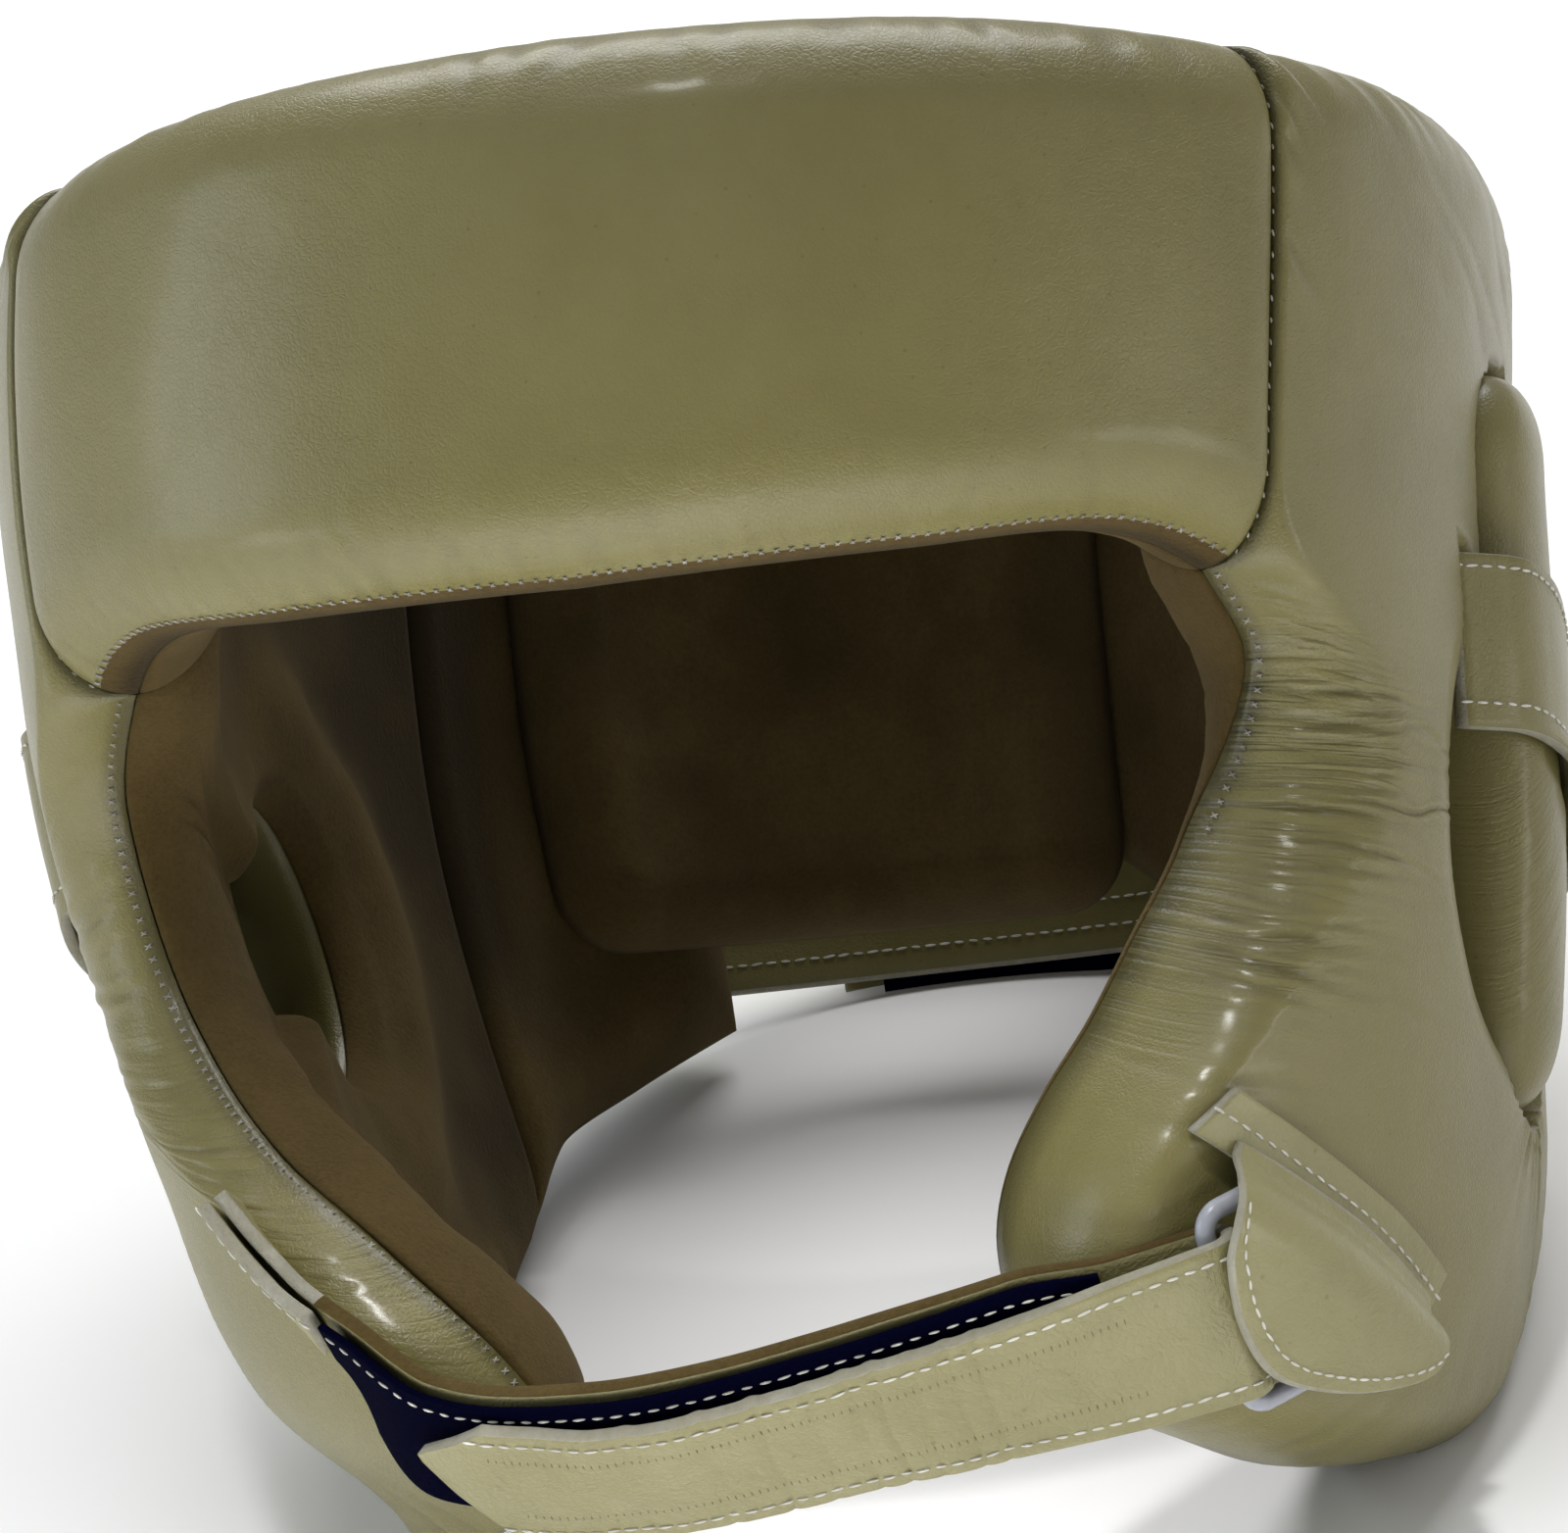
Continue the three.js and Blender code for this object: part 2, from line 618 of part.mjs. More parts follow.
// Ribbon along a path of centres with width directions: rows of points on both faces
function ribbon(path, halfWidth, thickness, grow = 0) {
  const thick = thickness / 2 + grow;
  const lines = path.map((row, i) => {
    const before = path[Math.max(i - 1, 0)].centre;
    const after = path[Math.min(i + 1, path.length - 1)].centre;
    const along = after.clone().sub(before).normalize();
    const lift = along.clone().cross(row.width).normalize();
    const past = { 0: -grow, [path.length - 1]: grow }[i] ?? 0;
    const centre = row.centre.clone().addScaledVector(along, past);
    const across = [-1, 0, 1].map((s) => centre.clone().addScaledVector(row.width, s * (halfWidth + grow)));
    return {
      upper: across.map((p) => p.clone().addScaledVector(lift, thick)),
      lower: across.map((p) => p.clone().addScaledVector(lift, -thick)),
    };
  });
  return wall(lines.map((l) => l.upper), lines.map((l) => l.lower));
}

// Frame of the ring on the left cheek: along the tab, along the ring's bars, and out of the pad
function ringFrame() {
  const origin = skin(RING.phi, RING.z, PAD + cheekSwell('left', RING.z) + RING.lift);
  const out = outward(RING.phi, RING.z);
  const round = suede(RING.phi + 1, RING.z).sub(suede(RING.phi - 1, RING.z)).normalize();
  const tilt = THREE.MathUtils.degToRad(RING.tilt);
  const rise = out.clone().cross(round).normalize();
  const along = round.clone().multiplyScalar(Math.cos(tilt)).addScaledVector(rise, Math.sin(tilt));
  const bar = along.clone().cross(out).normalize();
  return { origin, along, bar, out };
}

const ring = ringFrame();

function strapRing(grow = 0) {
  const corners = [];
  const reach = RING.halfLength - RING.corner;
  const width = RING.halfWidth - RING.corner;
  const steps = 2;
  for (const [sx, sy, start] of [[1, 1, 0], [-1, 1, 90], [-1, -1, 180], [1, -1, 270]]) {
    for (let k = 0; k <= steps; k += 1) {
      const a = THREE.MathUtils.degToRad(start + (90 * k) / steps);
      const l = sx * reach + RING.corner * Math.cos(a);
      const w = sy * width + RING.corner * Math.sin(a);
      corners.push({ a, l, w });
    }
  }
  const sides = 8;
  return loft(corners.map(({ a, l, w }) => {
    const centre = ring.origin.clone().addScaledVector(ring.bar, l).addScaledVector(ring.along, w);
    const away = ring.bar.clone().multiplyScalar(Math.cos(a)).addScaledVector(ring.along, Math.sin(a));
    return Array.from({ length: sides }, (_, k) => {
      const b = (k / sides) * 2 * Math.PI;
      return centre.clone()
        .addScaledVector(away, (RING.rod + grow) * Math.cos(b))
        .addScaledVector(ring.out, (RING.rod + grow) * Math.sin(b));
    });
  }), true);
}

// Rows of the strap's middle line, finer than its table
function strapRows(steps = 16, share = 1) {
  const rows = measured(STRAP_PATH, ['x', 'y', 'z']);
  return Array.from({ length: steps + 1 }, (_, i) => {
    const at = share * i / steps;
    const pick = (column) => follow(rows, 'at', column, at);
    return {
      at,
      centre: new THREE.Vector3(pick('x'), pick('y'), pick('z')),
      width: new THREE.Vector3(pick('wx'), pick('wy'), pick('wz')).normalize(),
    };
  });
}

function strapLayer(lift, rows) {
  return rows.map((row, i) => {
    const before = rows[Math.max(i - 1, 0)].centre;
    const after = rows[Math.min(i + 1, rows.length - 1)].centre;
    const along = after.clone().sub(before).normalize();
    const out = row.width.clone().cross(along).normalize();
    return { centre: row.centre.clone().addScaledVector(out, lift), width: row.width };
  });
}

// One strap: inner run from the right cheek, turn round the ring's near bar, return run to the free end
function chinStrap(grow = 0) {
  const rows = strapRows();
  const turnRadius = RING.rod + 2 * GAP + LEATHER / 2;
  const bar = ring.origin.clone().addScaledVector(ring.along, -RING.halfWidth);
  const toBar = bar.clone().sub(rows.at(-1).centre);
  const onward = toBar.addScaledVector(ring.bar, -toBar.dot(ring.bar)).normalize();
  const out = ring.bar.clone().cross(onward);
  const turn = [-90, -45, 0, 45, 90].map((degrees) => {
    const a = THREE.MathUtils.degToRad(degrees);
    const centre = bar.clone()
      .addScaledVector(onward, turnRadius * Math.cos(a))
      .addScaledVector(out, turnRadius * Math.sin(a));
    return { centre, width: ring.bar.clone() };
  });
  const inner = strapLayer(-STRAP.inner, rows);
  const freeEnd = measured(STRAP_PATH, ['x', 'y', 'z'])[RETURN_FROM].at;
  const back = strapLayer(STRAP.outer, rows.filter((row) => row.at > freeEnd)).reverse();
  return ribbon([...inner, ...turn, ...back], STRAP.halfWidth, LEATHER, grow);
}

function strapPile(grow = 0) {
  const middle = (-STRAP.inner + STRAP.outer) / 2;
  return ribbon(strapLayer(middle, strapRows().slice(3, -1)), STRAP.halfWidth - 0.6, STRAP.pile, grow);
}

// Points on the left cheek along the ring's tab: s from the ring, h above the pad
function onCheek(s, across, h) {
  const tilt = THREE.MathUtils.degToRad(RING.tilt);
  const round = s * Math.cos(tilt) + across * Math.sin(tilt);
  const rise = s * Math.sin(tilt) - across * Math.cos(tilt);
  const z = RING.z + rise;
  return skin(RING.phi + round / MM_PER_DEGREE.tab, z, PAD + cheekSwell('left', z) + h);
}

function onRing(s, across, h) {
  return ring.origin.clone()
    .addScaledVector(ring.along, s)
    .addScaledVector(ring.bar, across)
    .addScaledVector(ring.out, h - RING.lift);
}

// Points on the left cheek in the flap's own directions: along its fold, past the fold, and h above the pad
function onFold(along, past, h) {
  const tilt = THREE.MathUtils.degToRad(FLAP.tilt);
  const round = along * Math.sin(tilt) + past * Math.cos(tilt);
  const z = FLAP.z - along * Math.cos(tilt) + past * Math.sin(tilt);
  return skin(FLAP.phi + round / MM_PER_DEGREE.tab, z, PAD + cheekSwell('left', z) + h);
}

// Leather loop folded round the ring's far bar, under the flap
function ringLoop(grow = 0) {
  const fold = RING.rod + 2 * GAP + LEATHER / 2;
  const path = [
    { s: 9.5 + grow, h: 1.4, half: 8.5 },
    { s: RING.halfWidth, h: RING.lift - fold, half: 9.5 },
    { s: RING.halfWidth - fold * 0.8, h: RING.lift - fold * 0.6, half: 9.5 },
    { s: RING.halfWidth - fold, h: RING.lift, half: 9.5 },
    { s: RING.halfWidth - fold * 0.8, h: RING.lift + fold * 0.6, half: 9.5 },
    { s: RING.halfWidth, h: RING.lift + fold, half: 9.5 },
    { s: 9 + grow, h: RING.lift + fold + 0.2, half: 9 },
  ];
  const thick = LEATHER / 2 + grow;
  const lines = path.map((row, i) => {
    const before = path[Math.max(i - 1, 0)];
    const after = path[Math.min(i + 1, path.length - 1)];
    const length = Math.hypot(after.s - before.s, after.h - before.h);
    const ds = -(after.h - before.h) / length;
    const dh = (after.s - before.s) / length;
    const place = row.s > 8 ? onCheek : onRing;
    const line = (side) => [-1, 0, 1].map((a) => place(
      row.s + side * thick * ds,
      a * (row.half + grow),
      row.h + side * thick * dh,
    ));
    return { upper: line(1), lower: line(-1) };
  });
  return wall(lines.map((l) => l.upper), lines.map((l) => l.lower));
}

// Flap from its fold out over the ring, with a rounded edge
function ringFlap() {
  const shares = [0, 0.25, 0.5, 0.75, 1];
  const layer = (side) => FLAP_REACH.map(({ along, reach }) => shares.map((share) => {
    const away = share * reach;
    return onFold(along, -away, follow(FLAP_RISE, 'away', 'h', away) + side * LEATHER / 2);
  }));
  return wall(layer(1), layer(-1));
}

function ringTab() {
  const joined = toManifold(ringLoop()).add(toManifold(ringFlap()));
  return cut(fromManifold(joined), [strapRing(CUT_GAP)]);
}

// Strip sewn to the left cheek beside the flap's fold
function ringPatch(grow = 0) {
  const steps = 6;
  const { near, far } = SEWN_STRIP;
  const layer = (h) => Array.from({ length: steps + 1 }, (_, i) => [0, 0.5, 1].map((share) => {
    const past = near - grow + (far - near + 2 * grow) * share;
    const from = SEWN_STRIP.from - (far - past) * SEWN_STRIP.slant - grow;
    return onFold(from + (SEWN_STRIP.to + grow - from) * i / steps, past, h);
  }));
  return wall(layer(SEWN_STRIP.lift + LEATHER + grow), layer(SEWN_STRIP.lift - grow));
}

// Tab on the right cheek over the sewn end of the strap
function anchorTab(grow = 0) {
  const rows = strapRows(6, ANCHOR.share);
  const lift = -STRAP.inner + LEATHER + 2.5 * GAP;
  return ribbon(strapLayer(lift, rows), ANCHOR.halfWidth, LEATHER, grow);
}

function piece(name, geometry, look) {
  const mesh = new THREE.Mesh(geometry, new THREE.MeshStandardMaterial(look));
  mesh.name = name;
  return mesh;
}

const guard = new THREE.Group();
const front = frontPanel();
guard.add(piece('front_pad', front.pad, LEATHER_LOOK));
guard.add(piece('front_lining', front.lining, SUEDE_LOOK));

for (const [side, mirror] of Object.entries(MIRROR)) {
  const cheek = cheekPieces(side);
  const wing = rearWing(side);
  const laidOn = [earBar(mirror, CUT_GAP), earBand(mirror, CUT_GAP), chinStrap(CUT_GAP), strapPile(CUT_GAP)];
  if (side === 'left') laidOn.push(ringLoop(CUT_GAP), ringPatch(CUT_GAP));
  else laidOn.push(anchorTab(CUT_GAP));
  const bands = [BACK_STRAP, BACK_HOOK, BACK_FLAP].map((band) => backBand(band, CUT_GAP));
  guard.add(piece(`cheek_pad_${side}`, cut(cheek.pad, laidOn), LEATHER_LOOK));
  guard.add(piece(`cheek_lining_${side}`, cheek.lining, SUEDE_LOOK));
  guard.add(piece(`rear_wing_${side}`, cut(wing.pad, bands), LEATHER_LOOK));
  guard.add(piece(`rear_wing_lining_${side}`, wing.lining, SUEDE_LOOK));
  guard.add(piece(`ear_bar_${side}`, cut(earBar(mirror), [earBand(mirror, CUT_GAP)]), LEATHER_LOOK));
  guard.add(piece(`ear_band_${side}`, earBand(mirror), LEATHER_LOOK));
}

guard.add(piece('back_pad', backPad(), SUEDE_LOOK));
guard.add(piece('back_strap', backBand(BACK_STRAP), LEATHER_LOOK));
guard.add(piece('back_hook', backBand(BACK_HOOK), TAPE_LOOK));
guard.add(piece('back_flap', backBand(BACK_FLAP), LEATHER_LOOK));
guard.add(piece('chin_strap', chinStrap(), LEATHER_LOOK));
guard.add(piece('chin_strap_pile', strapPile(), TAPE_LOOK));
guard.add(piece('strap_ring', strapRing(), RING_LOOK));
guard.add(piece('ring_tab', ringTab(), LEATHER_LOOK));
guard.add(piece('ring_patch', ringPatch(), LEATHER_LOOK));
guard.add(piece('anchor_tab', anchorTab(), LEATHER_LOOK));

guard.rotation.x = -LEAN;
guard.position.set(FOOTPRINT_SHIFT.x, FOOTPRINT_SHIFT.y, FLOOR_DROP);

export default guard;
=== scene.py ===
"""Open-face boxing head guard: padded khaki leather outside, brown suede inside.

Shapes are worked out in millimetres in the head frame: +X to the wearer's left, -Y to the front, +Z up,
z = 0 just above the brow edge. world() turns them to metres in the row frame, where the guard leans back
and rests on its lower edge.
"""
import math

import bmesh
import bpy
import numpy as np
from mathutils import Matrix, Vector

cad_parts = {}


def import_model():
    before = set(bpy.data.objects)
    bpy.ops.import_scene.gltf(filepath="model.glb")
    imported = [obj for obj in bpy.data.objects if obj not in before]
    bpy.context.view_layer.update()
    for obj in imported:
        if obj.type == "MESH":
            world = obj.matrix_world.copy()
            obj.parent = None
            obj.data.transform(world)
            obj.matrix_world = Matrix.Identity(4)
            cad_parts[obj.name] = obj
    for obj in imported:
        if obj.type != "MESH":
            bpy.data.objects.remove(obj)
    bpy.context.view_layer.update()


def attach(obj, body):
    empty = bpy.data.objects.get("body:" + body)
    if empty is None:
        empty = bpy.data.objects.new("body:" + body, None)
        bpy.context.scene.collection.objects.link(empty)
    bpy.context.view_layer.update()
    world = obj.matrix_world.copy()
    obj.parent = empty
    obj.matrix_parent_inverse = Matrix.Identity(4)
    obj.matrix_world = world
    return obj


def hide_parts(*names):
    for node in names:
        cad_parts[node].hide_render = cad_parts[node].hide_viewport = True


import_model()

# Driving sizes, in millimetres and degrees
LEAN = math.radians(30)
FLOOR_DROP = 116
FOOTPRINT_SHIFT = (-0.64, 19.1)
PAD = 28
WING = 22
SEAM_DEPTH = 14
ROLL = 14
LINING_ROLL = 12
LINING = 2.4
LEATHER = 2
GAP = 0.3
SEAM_INSET = 0.16
SQUARE = 2.25
SAG = dict(slope=0.085, start=22, soft=15)
CROWN_SHIFT = dict(slope=0.075, start=8, soft=10)
CHEEK_SWELL = dict(
    left=4, edge=3, right=-8, rear_loss=0.7, z=-104, reach=30, behind=(54, 66), rear=(68, 80),
)
CHEEK_FOOT = dict(right=-11, z=-134, reach=18)
RIM_SEAM = dict(
    left=9.5, left_z=(24, 52), upper=2.5, upper_z=(10, 30), lower=2, lower_z=(60, 90), tip_z=(112, 130),
)
RIM_FRONT = (68, 84)
THIN_CHEEK = dict(depth=5.5, ahead=(-0.9, 0.95), top=(4, 30), bottom=(96, 122))
TEMPLE_SEAM = dict(top=(48.5, 55.5), bottom=(45, -15), groove=0.12)
REAR_SEAM = dict(top=(127, 42), bottom=(125, -101), groove=0.4)
WING_END = dict(left=168, right=158)
WING_GROOVE = 0.25
SEAM_ROLL = 5
MM_PER_DEGREE = dict(front=1.87, cheek=1.6, tab=1.72, bar=1.8, wing=1.76, back_pad=1.64)
FRONT_HEIGHT = 70
WING_HEIGHT = 118
EAR_HOLE = dict(phi=85, z=-51, half_width=12.5, half_height=22, seam_depth=4, roll=16, lining_roll=5)
EAR_BAR = dict(phi=88, top=17, bottom=-90, half_width=17, inner=13, outer=34.5, end_round=0.3)
BAND_HALF_HEIGHT = 12.5
BACK_PAD = dict(start=161, end=222, bottom=-56, top=34, outer=-1.2, inner=-17, lip=3, roll=9, corner=12)
STRAP = dict(half_width=11.5, inner=3.1, outer=2.1, pile=1.1)
RING = dict(phi=38.4, z=-106.3, lift=4.2, tilt=20, half_length=14.6, half_width=5.6, corner=3, rod=1.4)
MIRROR = dict(left=1, right=-1)
SEED = 7


def table(columns, *rows):
    """Short table with named columns."""
    return {name: np.array(values, float) for name, values in zip(columns.split(), zip(*rows))}


def rows_of(columns):
    """Rows of a table, each with its values by column name."""
    return [dict(zip(columns, row)) for row in zip(*columns.values())]


# Suede face: half width, reach to the front and reach to the back at each level
LEVELS = table(
    "z side front back",
    (-140, 60, 62, 62), (-100, 69, 78, 84), (-50, 80, 93, 98),
    (0, 84, 100, 102), (50, 85, 97, 99), (95, 76, 86, 90),
)
# Crown rim and brow edge: height at an angle from the front
CROWN = table(
    "phi z",
    (0, 59), (25, 58), (48.5, 55.5), (70, 54), (90, 51.5), (108, 47), (127, 42), (158, 37), (168, 35.5),
)
BROW = table("phi z", (0, -11), (22, -10), (34, -9), (40, -11), (45, -15))
# Free edge of each cheek: down the face opening, round the tip and along the bottom
CHEEK_EDGE = dict(
    left=table(
        "phi z",
        (45, -15), (48.8, -25), (49.4, -34), (48.6, -43), (45.5, -53), (40.2, -64), (35, -75.5), (30, -85),
        (26, -95), (24.4, -105), (26, -116), (32, -126), (43, -133.5), (58, -140), (74, -141.8), (88, -137),
        (104, -123.5), (125, -101),
    ),
    right=table(
        "phi z",
        (45, -15), (51, -25), (54, -36), (54.5, -47), (52.5, -57), (47.5, -67.5), (39.5, -79), (32, -88.5),
        (26.5, -98.5), (22.5, -107), (20.8, -116), (23, -125), (32, -133), (48, -139), (70, -141),
        (88, -135.5), (104, -122), (125, -101),
    ),
)
WING_BOTTOM = dict(
    left=table("phi z", (125, -101), (136, -84), (148, -71), (158, -56), (168, -42)),
    right=table("phi z", (125, -101), (136, -84), (148, -74), (158, -66)),
)
# Ear band: middle line on the pad, with its depth from the suede face
BAND_PATH = table(
    "phi z depth",
    (72.5, -25, 24.5), (77, -26, 31.5), (82, -28, 33.8), (88, -31.5, 34.3), (94, -36, 33.6),
    (100, -42, 31.5), (108, -50, 29), (116, -56, 28), (122, -59.5, 26.4),
)
# Chin strap: middle between its two runs, from the right cheek to the ring, with its width direction
STRAP_PATH = table(
    "x y z wx wy wz",
    (-70, -79.9, -92.7, -0.49, 0.78, -0.4), (-64.6, -81.5, -100.4, -0.46, 0.75, -0.48),
    (-58.5, -84, -107.6, -0.4, 0.7, -0.59), (-51.3, -87.5, -114.7, -0.34, 0.68, -0.65),
    (-38, -92.5, -126.5, -0.22, 0.72, -0.66), (-12, -95.5, -131.5, -0.04, 0.76, -0.65),
    (21, -95, -127.5, 0, 0.74, -0.67), (50, -93.5, -122.5, 0.05, 0.62, -0.78),
    (63, -91, -120, 0.08, 0.5, -0.86),
)
RETURN_FROM = 4
# Flap over the ring: where its fold starts on the left cheek, how far it reaches and how high it stands
FLAP = dict(phi=36.6, z=-88.8, tilt=50.7)
FLAP_REACH = table(
    "along reach",
    (0, 2), (1.5, 7), (3.7, 10.9), (10.1, 15.9), (18, 18.2), (26.4, 16.2), (33, 12.7),
    (38.7, 7.5), (40, 2.5),
)
FLAP_RISE = table("away h", (-3, 2.9), (-1, 4.2), (1, 7.6), (3, 10), (6, 11.3), (10, 11.5), (18.2, 10.8))
FLAP_ROOT = 3
SEWN_STRIP = dict(start=-3.2, end=43.6, slant=0.27, near=1.2, far=8.6, lift=0.1)
ANCHOR = dict(share=0.175, half_width=12.8, turn=0.5, rise=5, fade=(0.12, 0.34), narrow=0.6, shift=-0.36)


# Head frame
def unit(v):
    return v / np.maximum(np.linalg.norm(v, axis=-1, keepdims=True), 1e-12)


def follow(rows, key, column, x):
    """Value of one column at x, by a cubic through the rows; past the ends it stays level."""
    xs, ys = rows[key], rows[column]
    last = len(xs) - 1
    at = np.clip(x, xs[0], xs[-1])
    i = np.clip(np.searchsorted(xs, at) - 1, 0, last - 1)
    low = np.maximum(np.arange(last + 1) - 1, 0)
    high = np.minimum(np.arange(last + 1) + 1, last)
    slope = (ys[high] - ys[low]) / (xs[high] - xs[low])
    h = xs[i + 1] - xs[i]
    t = (at - xs[i]) / h
    u = 1 - t
    ends = ys[i] * u * u * (1 + 2 * t) + ys[i + 1] * t * t * (3 - 2 * t)
    return ends + slope[i] * h * t * u * u - slope[i + 1] * h * t * t * u


def measured(rows, columns):
    """Rows with a column "at": the length of the broken line up to each row, as a share of its whole."""
    steps = np.sqrt(sum(np.diff(rows[c]) ** 2 for c in columns))
    lengths = np.concatenate([[0], np.cumsum(steps)])
    return dict(rows, at=lengths / lengths[-1])


def suede(phi, z):
    """Point on the suede face, at an angle from the front and a height."""
    angle = np.radians(phi)
    across, ahead = np.sin(angle), np.cos(angle)
    side = follow(LEVELS, "z", "side", z)
    front, back = follow(LEVELS, "z", "front", z), follow(LEVELS, "z", "back", z)
    reach = np.where(ahead > 0, front, back)
    r = (np.abs(across / side) ** SQUARE + np.abs(ahead / reach) ** SQUARE) ** (-1 / SQUARE)
    below = -z - SAG["start"]
    sag = SAG["slope"] * (np.hypot(below, SAG["soft"]) + below) / 2
    above = z - CROWN_SHIFT["start"]
    shift = CROWN_SHIFT["slope"] * (np.hypot(above, CROWN_SHIFT["soft"]) + above) / 2
    return np.stack([r * across + sag + shift, -r * ahead, z + 0 * r], -1)


def outward(phi, z):
    """Direction out of the suede face."""
    step = 0.5
    around = suede(phi + step, z) - suede(phi - step, z)
    rise = suede(phi, z + step) - suede(phi, z - step)
    return unit(np.cross(around, rise))


def skin(phi, z, depth):
    """Point at a depth outside the suede face."""
    phi, z, depth = np.broadcast_arrays(np.asarray(phi, float), z, depth)
    return suede(phi, z) + outward(phi, z) * depth[..., None]


UP = np.array([0, -math.sin(LEAN), math.cos(LEAN)])


def settle(p):
    """Leather that would reach below the floor is pressed flat on it."""
    height = p @ UP + FLOOR_DROP
    return p - np.minimum(height, 0)[..., None] * UP


def turned(v):
    """Directions of the head frame, in the row frame."""
    c, s = math.cos(LEAN), math.sin(LEAN)
    return np.stack([v[..., 0], v[..., 1] * c + v[..., 2] * s, v[..., 2] * c - v[..., 1] * s], -1)


def world(p):
    """Points of the head frame, in metres in the row frame."""
    return (turned(p) + np.array([*FOOTPRINT_SHIFT, FLOOR_DROP])) / 1000


def smooth(x, low, high):
    """Soft step from 0 at low to 1 at high."""
    t = np.clip((x - low) / (high - low), 0, 1)
    return t * t * (3 - 2 * t)


def cloud(u, v, seed):
    """Soft noise from -1 to 1 over a plane, with lumps about 1 wide."""
    side = 64
    lattice = np.random.default_rng(SEED + seed).uniform(-1, 1, (side, side))
    u, v = np.broadcast_arrays(u, v)
    i, j = np.floor(u).astype(int), np.floor(v).astype(int)
    s, t = smooth(u - i, 0, 1), smooth(v - j, 0, 1)
    at = lambda a, b: lattice[(i + a) % side, (j + b) % side]
    return (at(0, 0) * (1 - s) + at(1, 0) * s) * (1 - t) + (at(0, 1) * (1 - s) + at(1, 1) * s) * t


def gathers(along, away, span, count, depth, width, reach, seed, slant=0.0):
    """Creases that start at an edge and run inwards; along and away are in millimetres."""
    rng = np.random.default_rng(SEED + seed)
    height = np.zeros(np.broadcast(along, away).shape)
    places = span[0] + (span[1] - span[0]) * (np.arange(count) + rng.uniform(0.15, 0.85, count)) / count
    for k, place in enumerate(places):
        deep = depth * rng.uniform(0.25, 1) ** 1.5
        wide = width * rng.uniform(0.6, 1.5)
        far = reach * rng.uniform(0.35, 1.3)
        lean = slant + rng.normal(0, 0.12)
        wander = 2.2 * cloud(away / 11, k * 3.7, seed + 1)
        x = (along - place - lean * away - wander) / wide
        fade = np.exp(-((away / far) ** 2)) * smooth(away, -1, 3)
        height += deep * fade * (0.55 * np.exp(-((np.abs(x) - 1.9) ** 2)) - np.exp(-x * x))
    return height


def creases(u, v, starts, angles, length, depth, width, seed):
    """Fine creases over a plane in millimetres: each starts at a point, runs at an angle and fades out."""
    rng = np.random.default_rng(SEED + seed)
    height = np.zeros(np.broadcast(u, v).shape)
    for k, ((start_u, start_v), angle) in enumerate(zip(starts, angles)):
        turn = math.radians(angle + rng.normal(0, 4))
        far = length * rng.uniform(0.4, 1.4)
        deep = depth * rng.uniform(0.3, 1) ** 1.5
        wide = width * rng.uniform(0.7, 1.4)
        s = (u - start_u) * math.cos(turn) + (v - start_v) * math.sin(turn)
        n = (v - start_v) * math.cos(turn) - (u - start_u) * math.sin(turn)
        n = (n - 1.1 * cloud(s / 8, k * 3.7, seed + 1)) / wide
        fade = smooth(s, -2, 1.5) * (1 - smooth(s, 0, far)) ** 1.5
        height += deep * fade * (0.5 * np.exp(-((np.abs(n) - 1.8) ** 2)) - np.exp(-n * n))
    return height


# Meshes
def grid_faces(rows, columns, first=0, wrap=False):
    """Four-sided faces of a grid of points, row by row."""
    i, j = np.meshgrid(np.arange(rows if wrap else rows - 1), np.arange(columns - 1), indexing="ij")
    a, b = first + i * columns + j, first + (i + 1) % rows * columns + j
    return np.stack([a, b, b + 1, a + 1], -1).reshape(-1, 4)


def wall(outer, inner, wrap=False):
    """Closed wall between two grids with the same rows; wrap closes them on their first row."""
    rows, columns = outer.shape[:2]
    depth = inner.shape[1]
    first = rows * columns
    points = np.concatenate([outer.reshape(-1, 3), inner.reshape(-1, 3)])
    faces = [grid_faces(rows, columns, 0, wrap), grid_faces(rows, depth, first, wrap)[:, ::-1]]
    i = np.arange(rows if wrap else rows - 1)
    n = (i + 1) % rows
    for out_column, in_column, turn in ((0, 0, 1), (columns - 1, depth - 1, -1)):
        a, b = i * columns + out_column, n * columns + out_column
        c, d = first + n * depth + in_column, first + i * depth + in_column
        faces.append(np.stack([a, d, c, b], -1)[:, ::turn])
    if not wrap:
        j = np.arange(columns - 1)
        for out_row, turn in ((0, 1), (rows - 1, -1)):
            a = out_row * columns + j
            b = first + out_row * depth + j
            faces.append(np.stack([a, a + 1, b + 1, b], -1)[:, ::turn])
    return points, np.concatenate(faces)


def loft(rings, joined=False):
    """Closed body through rings of points, with a fan over each end or joined end to start."""
    count, sides = rings.shape[:2]
    closed = np.concatenate([rings, rings[:, :1]], 1)
    faces = grid_faces(count, sides + 1, 0, joined)
    points = closed.reshape(-1, 3)
    if not joined:
        ends = np.stack([rings[0].mean(0), rings[-1].mean(0)])
        j = np.arange(sides)
        last = (count - 1) * (sides + 1)
        start_fan = np.stack([j + 1, j, 0 * j + len(points), 0 * j + len(points)], -1)
        end_fan = np.stack([last + j, last + j + 1, 0 * j + len(points) + 1, 0 * j + len(points) + 1], -1)
        points = np.concatenate([points, ends])
        faces = np.concatenate([faces, start_fan, end_fan])
    return points, faces


